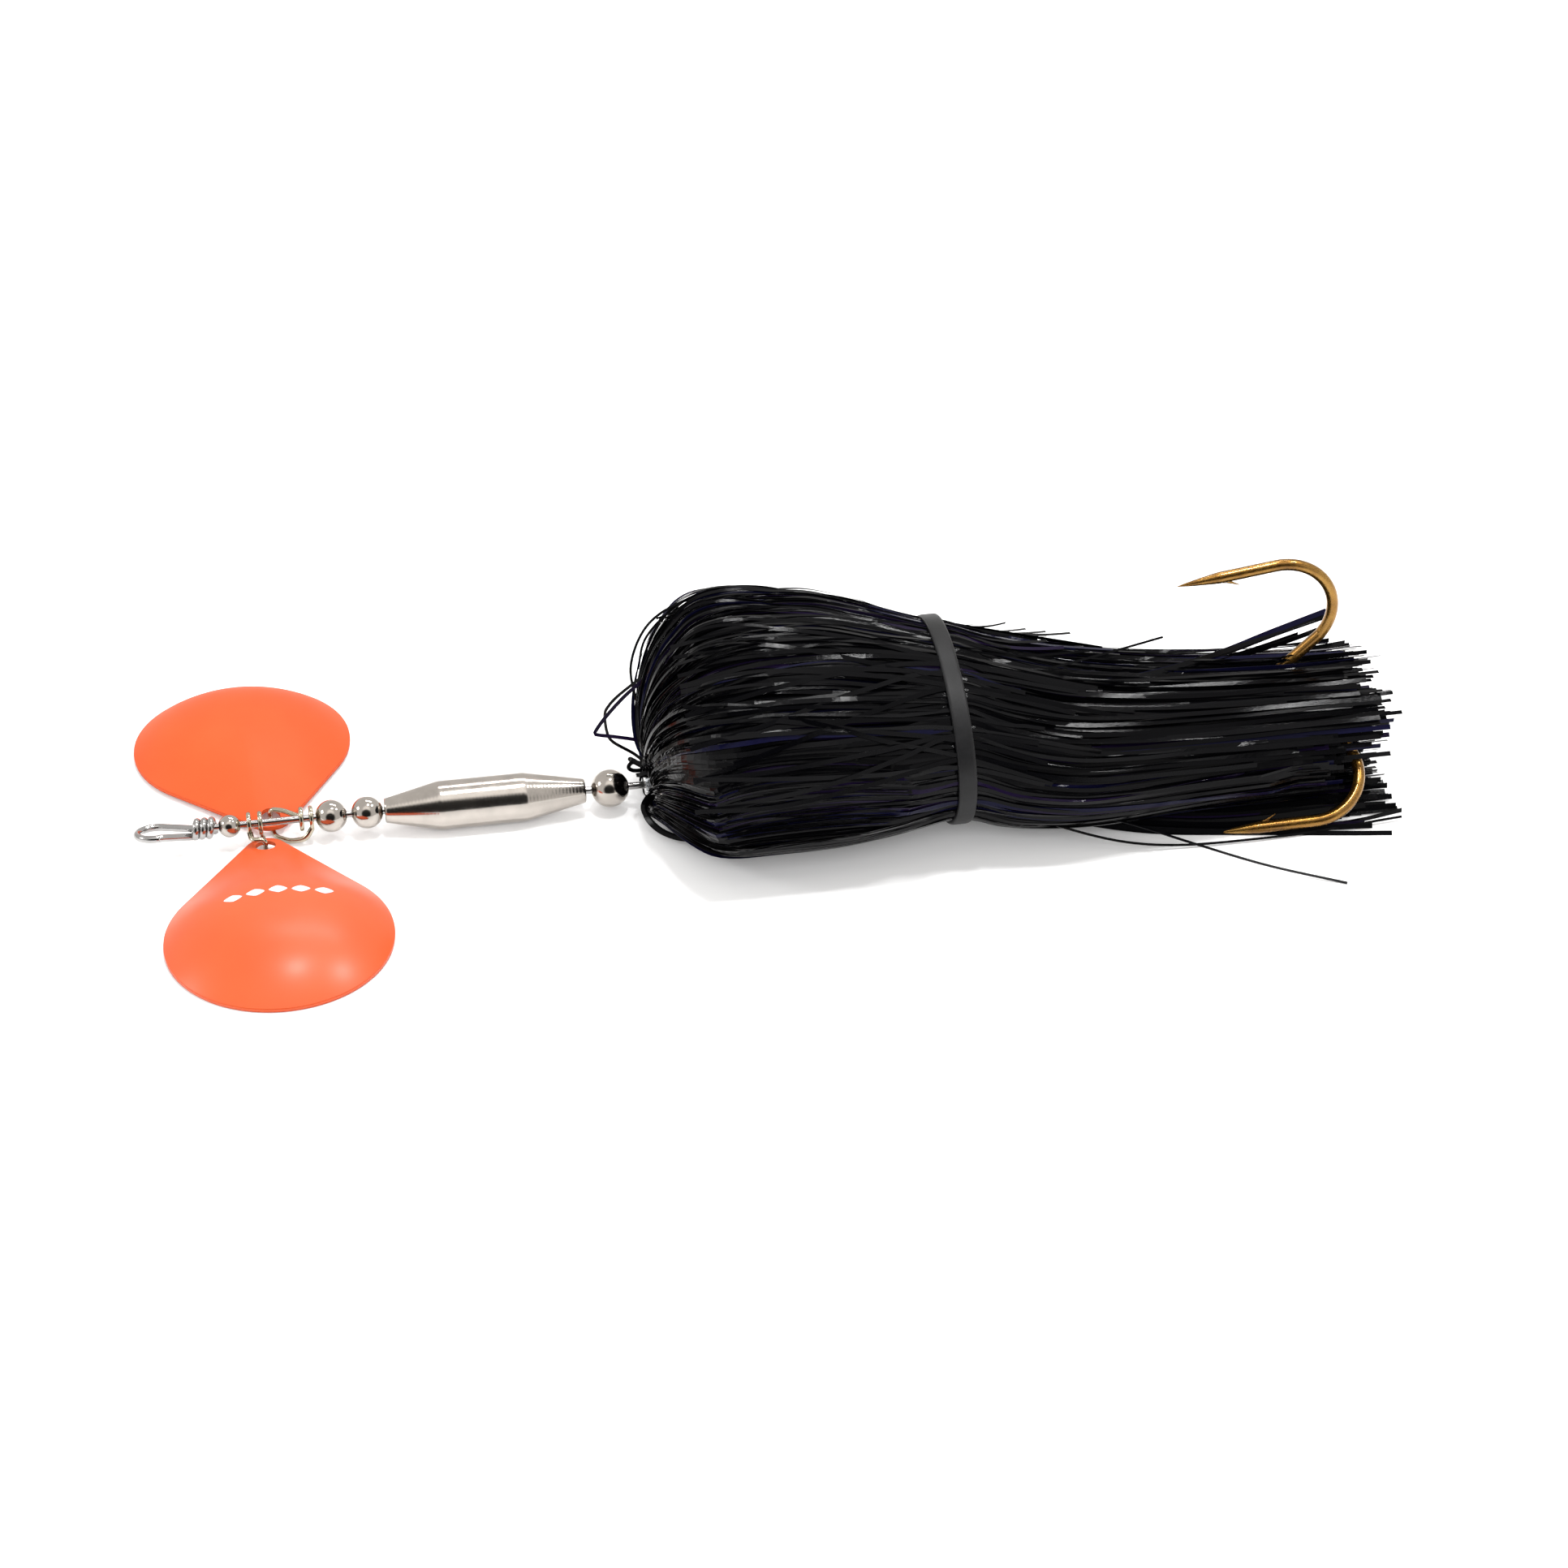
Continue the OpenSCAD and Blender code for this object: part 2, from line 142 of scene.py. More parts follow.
# Materials.
def nickel(name, tone, shine, turned):
    """Bright nickel plate: a warm tone, faint clouding, fine scratches and, when turned, lathe marks."""
    m = Nodes(name)
    vector = m.coords()
    cloud = m.noise(vector, 260, 5)
    dark = tuple(c * 0.86 for c in tone)
    m.colour(m.ramp(cloud, [(0.3, dark), (0.62, tone)]))
    m.put(Metallic=1.0)
    fine = m.noise(m.coords(scale=(1, 6, 6)), 900, 3)
    m.roughness(m.span(fine, shine, shine + 0.1, 0.3, 0.75))
    if turned:
        wave = m.add("ShaderNodeTexWave", bands_direction="X")
        wave.inputs["Scale"].default_value = 420
        wave.inputs["Distortion"].default_value = 1.2
        wave.inputs["Detail"].default_value = 2
        m.link(vector, wave.inputs["Vector"])
        m.bump(wave.outputs["Fac"], 0.25, 0.00002)
    else:
        m.bump(fine, 0.12, 0.00003)
    return m.mat


def blade_paint(name, roughness, coat, mottling):
    """Fluorescent orange enamel on the blade: faint mottling and orange peel."""
    m = Nodes(name)
    vector = m.coords()
    broad = m.noise(vector, 38, 3)
    base = m.ramp(broad, [(0.25, (0.60, 0.075, 0.016)), (0.75, (0.62, 0.094, 0.023))])
    speck = m.noise(vector, 2600, 2)
    speckle = m.ramp(speck, [(0.42, (0.94, 0.94, 0.94)), (0.6, (1, 1, 1))])
    m.colour(m.multiply(base, speckle, mottling))
    m.put(Roughness=roughness, Coat_Weight=coat, Coat_Roughness=0.3, Specular_IOR_Level=0.2)
    m.bump(m.noise(vector, 700, 3), 0.05, 0.0001)
    return m.mat


def tinsel(name, gloss):
    """Black film strands: each strand has its own tint, with drawn streaks along its length."""
    m = Nodes(name)
    tint = m.add("ShaderNodeAttribute", attribute_name="tint")
    streak = m.noise(m.coords("UV", (3.0, 0.12, 1)), 9, 3)
    shade = m.ramp(streak, [(0.3, (0.55, 0.55, 0.6)), (0.7, (1.0, 1.0, 1.0))])
    m.colour(m.multiply(tint.outputs["Color"], shade, 1.0))
    m.roughness(m.span(streak, gloss, gloss + 0.08, 0.3, 0.7))
    m.put(Specular_IOR_Level=0.075)
    m.bump(streak, 0.08, 0.0001)
    return m.mat


def rubber():
    """Dull black rubber with a faint moulded grain and dusty wear."""
    m = Nodes("rubber")
    vector = m.coords()
    dust = m.noise(vector, 180, 5)
    m.colour(m.ramp(dust, [(0.35, (0.004, 0.004, 0.0045)), (0.75, (0.010, 0.010, 0.011))]))
    m.roughness(m.span(dust, 0.36, 0.58))
    m.put(Specular_IOR_Level=0.25)
    m.bump(m.noise(vector, 1500, 3), 0.3, 0.00006)
    return m.mat


def bronze():
    """Lacquered bronze hook wire: brown-gold, darker in patches, drawn along the wire."""
    m = Nodes("hook_bronze")
    vector = m.coords()
    patch = m.noise(vector, 140, 5)
    drawn = m.noise(m.coords(scale=(1, 5, 5)), 1200, 3)
    base = m.ramp(patch, [(0.28, (0.14, 0.062, 0.012)), (0.5, (0.30, 0.150, 0.026)),
                          (0.75, (0.44, 0.25, 0.055))])
    streaks = m.ramp(drawn, [(0.35, (0.72, 0.68, 0.6)), (0.65, (1, 1, 1))])
    m.colour(m.multiply(base, streaks, 0.8))
    m.put(Metallic=0.95, Coat_Weight=0.45, Coat_Roughness=0.12)
    m.roughness(m.span(drawn, 0.2, 0.38, 0.3, 0.7))
    m.bump(drawn, 0.1, 0.00002)
    return m.mat


def clear_tube():
    """Clear, slightly cloudy vinyl tube."""
    m = Nodes("clear_tube")
    cloud = m.noise(m.coords(), 350, 3)
    m.colour(m.ramp(cloud, [(0.3, (0.42, 0.44, 0.46)), (0.7, (0.58, 0.60, 0.62))]))
    m.roughness(m.span(cloud, 0.05, 0.2))
    m.put(Transmission_Weight=0.85, IOR=1.45)
    return m.mat


def thread():
    """Waxed black tying thread, with the twist of its yarn."""
    m = Nodes("thread")
    vector = m.coords()
    twist = m.noise(vector, 2400, 3)
    m.colour(m.ramp(twist, [(0.35, (0.006, 0.006, 0.007)), (0.7, (0.03, 0.03, 0.032))]))
    m.roughness(m.span(twist, 0.35, 0.6))
    m.bump(twist, 0.4, 0.00006)
    return m.mat


def foil():
    """Pale pearl foil with a soft shift of pink, silver and blue."""
    m = Nodes("foil")
    vector = m.coords()
    shift = m.noise(vector, 240, 2)
    m.colour(m.ramp(shift, [(0.3, (0.95, 0.72, 0.82)), (0.5, (0.93, 0.9, 0.93)),
                            (0.7, (0.72, 0.78, 0.98))]))
    m.put(Metallic=0.3, Coat_Weight=0.6)
    m.roughness(m.span(m.noise(vector, 1500, 2), 0.2, 0.4))
    return m.mat


def floor_material():
    """Plain white paper, lifted a little so that it reads white."""
    m = Nodes("floor")
    soft = m.noise(m.coords(), 6, 3)
    m.colour(m.ramp(soft, [(0.3, (0.895, 0.895, 0.9)), (0.7, (0.91, 0.91, 0.912))]))
    m.put(Roughness=0.32, Specular_IOR_Level=0.3, Emission_Strength=0.1)
    m.bsdf.inputs["Emission Color"].default_value = (1, 1, 1, 1)
    return m.mat


NICKEL = nickel("nickel", (0.50, 0.46, 0.42), 0.06, False)
NICKEL_TURNED = nickel("nickel_turned", (0.51, 0.47, 0.43), 0.11, True)
STEEL = nickel("steel_wire", (0.42, 0.41, 0.405), 0.12, False)
GOLD_NICKEL = nickel("clevis_nickel", (0.50, 0.45, 0.35), 0.1, False)
GLOSS = blade_paint("blade_gloss", 0.45, 0.4, 0.35)
SATIN = blade_paint("blade_satin", 0.55, 0.0, 0.5)
TINSEL = tinsel("tinsel", 0.05)
TINSEL_DEEP = tinsel("tinsel_deep", 0.2)
RUBBER = rubber()
BRONZE = bronze()
TUBE = clear_tube()
THREAD = thread()
FOIL = foil()


# Mesh helpers.
def piece(name, verts, faces, material, body, slot, smooth_angle=None, replaces=()):
    """A mesh object from points in millimetres, riding a body."""
    mesh = bpy.data.meshes.new(name)
    mesh.from_pydata((np.asarray(verts, float) * MM).tolist(), [], faces)
    mesh.validate()
    mesh.materials.append(material)
    obj = bpy.data.objects.new(name, mesh)
    scene.collection.objects.link(obj)
    if smooth_angle is not None:
        mesh.shade_smooth()
        mesh.set_sharp_from_angle(angle=math.radians(smooth_angle))
    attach(obj, body)
    if replaces:
        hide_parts(*replaces)
    return obj


def unit(v):
    return v / np.maximum(np.linalg.norm(v, axis=-1, keepdims=True), 1e-12)


def spline(points, fine):
    """A dense smooth curve through rows of numbers, fine rows for each stretch."""
    ext = np.vstack([2 * points[0] - points[1], points, 2 * points[-1] - points[-2]])
    rows = []
    for i in range(1, len(ext) - 2):
        p0, p1, p2, p3 = ext[i - 1:i + 3]
        t = np.linspace(0, 1, fine, endpoint=False)[:, None]
        rows.append(0.5 * (2 * p1 + (p2 - p0) * t + (2 * p0 - 5 * p1 + 4 * p2 - p3) * t ** 2
                           + (3 * p1 - p0 - 3 * p2 + p3) * t ** 3))
    return np.vstack(rows + [points[-1:]])


def lengths_along(paths):
    """Distance run along each path, from 0 at its start."""
    steps = np.linalg.norm(np.diff(paths, axis=-2), axis=-1)
    return np.concatenate([np.zeros((*steps.shape[:-1], 1)), np.cumsum(steps, axis=-1)], axis=-1)


def smooth_path(points, count):
    """count points, evenly spaced, on a smooth curve through the given points."""
    dense = spline(np.asarray(points, float), 24)
    run = lengths_along(dense)
    want = np.linspace(0, run[-1], count)
    return np.stack([np.interp(want, run, dense[:, k]) for k in range(3)], axis=1)


def frames(path):
    """Two steady normals along a path."""
    t = unit(np.gradient(path, axis=0))
    n = np.zeros_like(t)
    start = np.array([0, 0, 1.0])
    if abs(np.dot(start, t[0])) > 0.95:
        start = np.array([0, 1.0, 0])
    for i in range(len(path)):
        start = start - np.dot(start, t[i]) * t[i]
        start = start / np.linalg.norm(start)
        n[i] = start
    return n, np.cross(t, n)


def strip(a, b, count):
    """Quads between two rings of count points; a and b are the rings' first indices."""
    ring = [(j, (j + 1) % count) for j in range(count)]
    return [(a + j, b + j, b + k, a + k) for j, k in ring]


def strip_back(a, b, count):
    """The same quads, facing the other way."""
    ring = [(j, (j + 1) % count) for j in range(count)]
    return [(a + j, a + k, b + k, b + j) for j, k in ring]


def sweep(path, radius, sides=20, flat=(1.0, 1.0)):
    """Closed tube along a path: radius is one number or one a point; flat squashes its section."""
    n, b = frames(path)
    r = np.broadcast_to(np.asarray(radius, float), (len(path),))
    a = np.linspace(0, 2 * math.pi, sides, endpoint=False)
    ring = (n[:, None] * (np.cos(a) * flat[0])[None, :, None]
            + b[:, None] * (np.sin(a) * flat[1])[None, :, None])
    verts = (path[:, None] + ring * r[:, None, None]).reshape(-1, 3)
    faces = []
    for i in range(len(path) - 1):
        faces += strip_back(i * sides, (i + 1) * sides, sides)
    last = (len(path) - 1) * sides
    faces.append(tuple(range(sides - 1, -1, -1)))
    faces.append(tuple(range(last, last + sides)))
    return verts, faces


def revolve(profile, sides=96):
    """Closed ring solid from a closed outline of (x, r) points turned about the shaft."""
    p = np.asarray(profile, float)
    a = np.linspace(0, 2 * math.pi, sides, endpoint=False)
    verts = np.stack([np.repeat(p[:, 0], sides),
                      np.outer(p[:, 1], np.cos(a)).ravel(),
                      np.outer(p[:, 1], np.sin(a)).ravel()], axis=1)
    faces = []
    for i in range(len(p)):
        faces += strip(i * sides, (i + 1) % len(p) * sides, sides)
    return verts, faces


def joined(parts):
    """Several (verts, faces) as one."""
    verts, faces, base = [], [], 0
    for v, f in parts:
        verts.append(v)
        faces += [tuple(i + base for i in face) for face in f]
        base += len(v)
    return np.vstack(verts), faces


def rounded(points, radius, share, steps):
    """Points with each inner corner rounded, using no more than a share of the stretches beside it."""
    p = np.asarray(points, float)
    out = [p[0]]
    for i in range(1, len(p) - 1):
        a, c = [p[i] + unit(p[m] - p[i]) * min(radius, share * np.linalg.norm(p[m] - p[i]))
                for m in (i - 1, i + 1)]
        for k in range(steps + 1):
            u = k / steps
            out.append((1 - u) ** 2 * a + 2 * u * (1 - u) * p[i] + u * u * c)
    return out + [p[-1]]


def turn_x(points, degrees):
    a = math.radians(degrees)
    p = np.array(points, float)
    y = p[:, 1] * math.cos(a) - p[:, 2] * math.sin(a)
    z = p[:, 1] * math.sin(a) + p[:, 2] * math.cos(a)
    return np.stack([p[:, 0], y, z], axis=1)


# Shaft.
EYE_R = 3.85
WRAP_R = 1.56
WRAP_PITCH = 1.5
WRAP_X, REAR_EYE_X, REAR_REACH = 8.6, 177.5, 8.3
EYE_TURN = -16


def eye_and_wraps(reach):
    """One end of the wire: the shaft comes in along X, loops about the origin and wraps back."""
    touch = math.degrees(math.acos(EYE_R / reach)) + 6
    loop = [(EYE_R * math.cos(math.radians(a)), EYE_R * math.sin(math.radians(a)), 0)
            for a in np.linspace(touch, 360 - touch, 30)]
    loop = turn_x(loop, EYE_TURN)
    first = -90 + EYE_TURN
    coil = []
    for a in np.linspace(0, 3 * 360 - 30, 70):
        b = math.radians(first - a)
        coil.append((reach - 0.72 + WRAP_PITCH * a / 360, WRAP_R * math.cos(b), WRAP_R * math.sin(b)))
    lead = [(reach + 14, 0, 0), (reach + 6, 0, 0), (reach + 2, 0, 0), (reach, 0.1, 0)]
    return np.vstack([lead, loop, coil])


front_end = eye_and_wraps(WRAP_X)
rear_end = eye_and_wraps(REAR_REACH) * np.array([-1, -1, 1]) + np.array([REAR_EYE_X, 0, 0])
straight = np.array([[x, 0, 0] for x in np.linspace(150, 24, 20)])
wire_points = np.vstack([rear_end[::-1], straight, front_end])
wire_path = smooth_path(wire_points, 900)
wire_radius = np.full(len(wire_path), WIRE_R)
wire_radius[:2] = wire_radius[-2:] = (WIRE_R * 0.93)
piece("shaft_wire_detail", *sweep(wire_path, wire_radius, 20), STEEL, "shaft", "wire", 50,
      ["shaft_wire"])


# Beads and body.
BORE_R = 0.835


def bead_piece(name, x, d, body):
    r = d / 2
    lip = math.asin((BORE_R + 0.16) / r)
    arc = [(x + r * math.cos(a), r * math.sin(a)) for a in np.linspace(math.pi - lip, lip, 46)]
    end = r * math.cos(lip)
    outline = arc + [(x + end - 0.12, BORE_R), (x - end + 0.12, BORE_R)]
    piece(name + "_detail", *revolve(outline), NICKEL, body, "nickel", 40, [name])


bead_piece("front_bead", 15.3, 4.8, "front_bead")
bead_piece("middle_bead_front", 36.5, 6.8, "middle_bead_front")
bead_piece("middle_bead_rear", 44.0, 6.8, "middle_bead_rear")
bead_piece("rear_bead", 95.3, 8.1, "rear_bead")
bead_piece("bearing_bead", 162.4, 4.0, "bearing_bead")


BODY_X, BODY_REAR = 47.6, 90.0
BODY_R, BODY_END_R = 5.2, 2.55
BODY_CONE, BODY_STRAIGHT_END = 11.4, 29.6
body_line = rounded(
    [(BODY_X, 0.95), (BODY_X, BODY_END_R), (BODY_X + BODY_CONE, BODY_R),
     (BODY_X + BODY_STRAIGHT_END, BODY_R), (BODY_REAR, BODY_END_R), (BODY_REAR, 1.95),
     (BODY_REAR - 0.8, 1.9), (BODY_REAR - 0.8, 0.95)], 0.4, 0.45, 5)
body_line += [(BODY_REAR - 0.95, BORE_R), (BODY_X + 0.15, BORE_R)]
piece("body_weight_detail", *revolve(body_line, 128), NICKEL_TURNED, "body_weight", "nickel", 30,
      ["body_weight"])


# Clevises.
def ear_ring(x):
    """A clevis ear: a thin round plate with rounded edges and a hole."""
    half, edge = 0.45, 0.25
    shoulder = 2.6 - edge
    outline = [(x - half, BORE_R), (x - half, shoulder)]
    outline += [(x - half * math.cos(a), shoulder + edge * math.sin(a))
                for a in np.linspace(0.3, math.pi - 0.3, 7)]
    outline += [(x + half, shoulder), (x + half, BORE_R)]
    return revolve(outline, 64)


def clevis_piece(name, ears, over, hole, under):
    """Two ears, and a leg that runs over the blade, down its hole and back under its tip."""
    points = list(over) + [(hole[0], hole[1], -0.7), (hole[0], hole[1], -4.6)] + list(under)
    bent = rounded(points, 1.2, 0.48, 4)
    strap = sweep(smooth_path(bent, 90), 0.5, 20, flat=(1.0, 1.25))
    piece(name + "_detail", *joined([ear_ring(ears[0]), ear_ring(ears[1]), strap]),
          GOLD_NICKEL, name, "nickel", 40, [name])


clevis_piece("front_clevis", (19.35, 21.65), [(19.35, -2, -0.9), (19.6, -4.9, -0.8)],
             (22.3, -5.1), [(22.3, -0.6, -4.6), (21.65, -0.4, -2.2)])
clevis_piece("rear_clevis", (30.2, 32.3), [(30.2, 2, -0.9), (26.6, 4.8, -0.6)],
             (24.0, 5.8), [(24.7, 1.1, -4.6), (27.6, -1.4, -4.4), (30.8, -2.6, -3.4),
                           (32.3, -1.7, -1.4)])


# Blades.
BLADE_LEN, BLADE_W, BLADE_TIP, BLADE_CROWN, BLADE_T = 57.8, 46.5, 4.6, 7.5, 0.9
HOLE_INSET, HOLE_D, BLADE_LIFT = 3.6, 4.2, 1.3
BLADE_MID = BLADE_LEN - BLADE_W / 2 - HOLE_INSET


def blade_reach(a):
    """Distance from the middle of the blade's round part to its outline, at an angle from the tip."""
    r = BLADE_W / 2
    far = BLADE_LEN - r - BLADE_TIP
    side = math.acos((r - BLADE_TIP) / far)
    tip = math.atan2(BLADE_TIP * math.sin(side), far + BLADE_TIP * math.cos(side))
    a = abs((a + math.pi) % (2 * math.pi) - math.pi)
    if a >= side:
        return r
    if a >= tip:
        return r / math.cos(side - a)
    return far * math.cos(a) + math.sqrt(BLADE_TIP ** 2 - (far * math.sin(a)) ** 2)


def crown(s, x, y):
    """Height of the blade's skin above its rim; the dome flattens out towards the tip."""
    t = min(1.0, max(0.0, (BLADE_MID - y - 6) / 26))
    return BLADE_CROWN * (1 - s ** 2.5) * (1 - 0.6 * t * t * (3 - 2 * t))


def hang(points, hole, yaw):
    """Moves points from a blade's own place to where it hangs."""
    lift = -math.asin(BLADE_LIFT / BLADE_LEN)
    turn = math.radians(yaw)
    p = np.array(points, float) + [0, 0, 0.05]
    y = p[:, 1] * math.cos(lift) - p[:, 2] * math.sin(lift)
    z = p[:, 1] * math.sin(lift) + p[:, 2] * math.cos(lift)
    x, y = (p[:, 0] * math.cos(turn) - y * math.sin(turn),
            p[:, 0] * math.sin(turn) + y * math.cos(turn))
    return np.stack([x + hole[0], y + hole[1], z + BLADE_LIFT + FLOOR_Z], axis=1)


def blade_piece(name, hole, yaw, material, slot):
    """A cupped sheet with a rolled rim and a punched hole, hung in its place."""
    rings, steps = 44, 220
    angles = [math.pi * u * abs(u) ** 0.4 for u in (2 * j / steps - 1 for j in range(steps))]
    tops, lows = [], []
    for i in range(1, rings + 1):
        s = math.sin(math.pi / 2 * i / rings)
        edge = i == rings
        for a in angles:
            r = s * blade_reach(a) - (0.1 if edge else 0)
            x, y = r * math.sin(a), BLADE_MID - r * math.cos(a)
            tops.append((x, y, BLADE_T + crown(s, x, y) - (0.06 if edge else 0)))
            lows.append((x, y, crown(s, x, y) + (0.06 if edge else 0)))
    rim = []
    for h in (0.3, 0.6):
        for a in angles:
            r = blade_reach(a) + 0.03
            rim.append((r * math.sin(a), BLADE_MID - r * math.cos(a), BLADE_T * (1 - h)))
    verts = tops + lows + rim + [(0, BLADE_MID, BLADE_T + BLADE_CROWN), (0, BLADE_MID, BLADE_CROWN)]
    low, rim_at = rings * steps, 2 * rings * steps
    top_c, low_c = rim_at + 2 * steps, rim_at + 2 * steps + 1
    faces = []
    for i in range(rings - 1):
        faces += strip(i * steps, (i + 1) * steps, steps)
        faces += strip(low + (i + 1) * steps, low + i * steps, steps)
    faces += strip((rings - 1) * steps, rim_at, steps)
    faces += strip(rim_at, rim_at + steps, steps)
    faces += strip(rim_at + steps, low + (rings - 1) * steps, steps)
    for j in range(steps):
        k = (j + 1) % steps
        faces.append((top_c, j, k))
        faces.append((low_c, low + k, low + j))
    placed = hang(verts, hole, yaw)
    obj = piece(name + "_detail", placed, faces, material, name, slot)
    around = 64
    cut = [(HOLE_D / 2 * math.cos(a), HOLE_D / 2 * math.sin(a)) for a in
           np.linspace(0, 2 * math.pi, around, endpoint=False)]
    ring = [(x, y, z) for z in (-5, 14) for x, y in cut]
    walls = strip_back(0, around, around)
    walls += [tuple(range(around - 1, -1, -1)), tuple(range(around, 2 * around))]
    mesh = bpy.data.meshes.new("punch")
    mesh.from_pydata((hang(ring, hole, yaw) * MM).tolist(), [], walls)
    punch = bpy.data.objects.new("punch", mesh)
    scene.collection.objects.link(punch)
    mod = obj.modifiers.new("hole", "BOOLEAN")
    mod.operation, mod.object, mod.solver = "DIFFERENCE", punch, "EXACT"
    bpy.context.view_layer.update()
    cut_mesh = bpy.data.meshes.new_from_object(
        obj.evaluated_get(bpy.context.evaluated_depsgraph_get()))
    obj.modifiers.clear()
    obj.data = cut_mesh
    bpy.data.objects.remove(punch)
    obj.data.shade_smooth()
    obj.data.set_sharp_from_angle(angle=math.radians(35))
    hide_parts(name)


FRONT_HOLE, FRONT_YAW = (22.3, -5.1), 181
REAR_HOLE, REAR_YAW = (24.0, 5.8), 7.5
blade_piece("front_blade", FRONT_HOLE, FRONT_YAW, GLOSS, "blade_gloss")
blade_piece("rear_blade", REAR_HOLE, REAR_YAW, SATIN, "blade_satin")


def scale_mark(cx, cy, half_w, half_h):
    """A thin lozenge of foil that follows the crown of the blade."""
    rings, steps = 5, 24
    top, low = [], []
    for i in range(rings + 1):
        for j in range(steps):
            a = 2 * math.pi * j / steps
            r = i / rings
            k = r / (abs(math.cos(a)) ** 1.3 + abs(math.sin(a)) ** 1.3) ** (1 / 1.3)
            x, y = cx + half_w * k * math.cos(a), cy + half_h * k * math.sin(a)
            dx, dy = x, y - BLADE_MID
            ratio = min(1, math.hypot(dx, dy) / blade_reach(math.atan2(dx, -dy)))
            z = BLADE_T + crown(ratio, x, y)
            top.append((x, y, z + 0.05))
            low.append((x, y, z - 0.03))
    faces = []
    base = (rings + 1) * steps
    for i in range(rings):
        faces += strip(i * steps, (i + 1) * steps, steps)
        faces += strip_back(base + i * steps, base + (i + 1) * steps, steps)
    faces += strip(rings * steps, base + rings * steps, steps)
    faces.append(tuple(range(steps - 1, -1, -1)))
    faces.append(tuple(range(base, base + steps)))
    return top + low, faces


MARK_COUNT, MARK_PITCH, MARK_W, MARK_H = 5, 4.6, 1.9, 1.25
marks = [scale_mark(-10.0 + MARK_PITCH * i, 24.5 + 0.16 * (i - 2.2) ** 2, MARK_W, MARK_H)
         for i in range(MARK_COUNT)]
mark_verts, mark_faces = joined([(hang(v, FRONT_HOLE, FRONT_YAW), f) for v, f in marks])
piece("blade_foil_marks", mark_verts, mark_faces, FOIL, "front_blade", "blade_gloss", 30)


# Treble.
HOOK_R, HOOK_REACH, BEND_R, BEND_S = 1.25, 31.3, 10.9, 51.7
TREBLE_EYE = np.array([189.3, -3.5, 6.2])
TREBLE_EYE_R, TREBLE_RISE, TREBLE_YAW = 3.7, 7.6, 4.5
INCURVE, LEG_ANGLE, FLARE_R = 2.9, 38, 8
POINT_LEG, POINT_LEN = 21, 9


def on_point_leg(d, h):
    a = math.radians(INCURVE)
    return (BEND_S - (BEND_R + h) * math.sin(a) - d * math.cos(a), 0,
            HOOK_REACH - BEND_R + (BEND_R + h) * math.cos(a) - d * math.sin(a))


def arc(cx, cz, r, start, turn, steps):
    return [(cx + r * math.cos(math.radians(start + turn * k / steps)), 0,
             cz + r * math.sin(math.radians(start + turn * k / steps))) for k in range(steps + 1)]


def hook_line(base, start):
    """Shank, flare, bend and point leg of one hook, in its own plane."""
    leg = math.radians(LEG_ANGLE)
    bend_z = HOOK_REACH - BEND_R
    leg_end = (BEND_S + BEND_R * math.sin(leg), bend_z - BEND_R * math.cos(leg))
    rise = FLARE_R * (1 - math.cos(leg))
    leg_start = leg_end[0] - (leg_end[1] - base - rise) / math.tan(leg)
    flare = leg_start - FLARE_R * math.sin(leg)
    line = [(start, 0, base), ((start + flare) / 2, 0, base)]
    line += arc(flare, base + FLARE_R, FLARE_R, -90, LEG_ANGLE, 6)
    line += arc(BEND_S, bend_z, BEND_R, LEG_ANGLE - 90, 180 - LEG_ANGLE + INCURVE, 16)
    line += [on_point_leg(d, 0) for d in (5, 10, 15, 18, POINT_LEG)]
    return line


def on_treble(points, angle=0):
    p = turn_x(points, angle)
    rise, yaw = math.radians(TREBLE_RISE), math.radians(-TREBLE_YAW)
    x = p[:, 0] * math.cos(rise) - p[:, 2] * math.sin(rise)
    z = p[:, 0] * math.sin(rise) + p[:, 2] * math.cos(rise)
    x, y = (x * math.cos(yaw) - p[:, 1] * math.sin(yaw),
            x * math.sin(yaw) + p[:, 1] * math.cos(yaw))
    return np.stack([x, y, z], axis=1) + TREBLE_EYE


def taper(path, from_end):
    """Wire radius along a path, drawn out to a fine point at its end."""
    run = lengths_along(path)
    left = (run[-1] - run) if from_end else run
    return HOOK_R * np.clip(left / POINT_LEN, 0.02, 1) ** 0.75


def barb(angle):
    """A small wedge cut up from the inner side of the point."""
    root = POINT_LEG - POINT_LEN + 1.2
    line = [on_point_leg(root, -0.5), on_point_leg(root - 2.6, -1.25), on_point_leg(root - 5.2, -2.7)]
    path = on_treble(smooth_path(line, 14), angle)
    return sweep(path, np.linspace(0.72, 0.08, 14), 12, flat=(1.0, 0.75))


SHANK_R, THIRD_SHANK_R = 1.48, 1.5
gap = 24
one = hook_line(SHANK_R, 9)
near = turn_x(one, 120)
far = turn_x(one, -120)
eye = [(TREBLE_EYE_R * math.cos(math.radians(a)), TREBLE_EYE_R * math.sin(math.radians(a)), 0)
       for a in np.linspace(gap, 360 - gap, 26)]
double_path = on_treble(smooth_path(np.vstack([far[::-1], eye, near]), 460))
double_radius = np.minimum(taper(double_path, True), taper(double_path, False))
piece("double_hook_detail",
      *joined([sweep(double_path, double_radius, 22), barb(120), barb(-120)]),
      BRONZE, "treble", "hook_bronze", 50, ["double_hook"])
third_path = on_treble(smooth_path(hook_line(THIRD_SHANK_R, 11), 240))
piece("third_hook_detail",
      *joined([sweep(third_path, taper(third_path, True), 22), barb(0)]),
      BRONZE, "treble", "hook_bronze", 50, ["third_hook"])

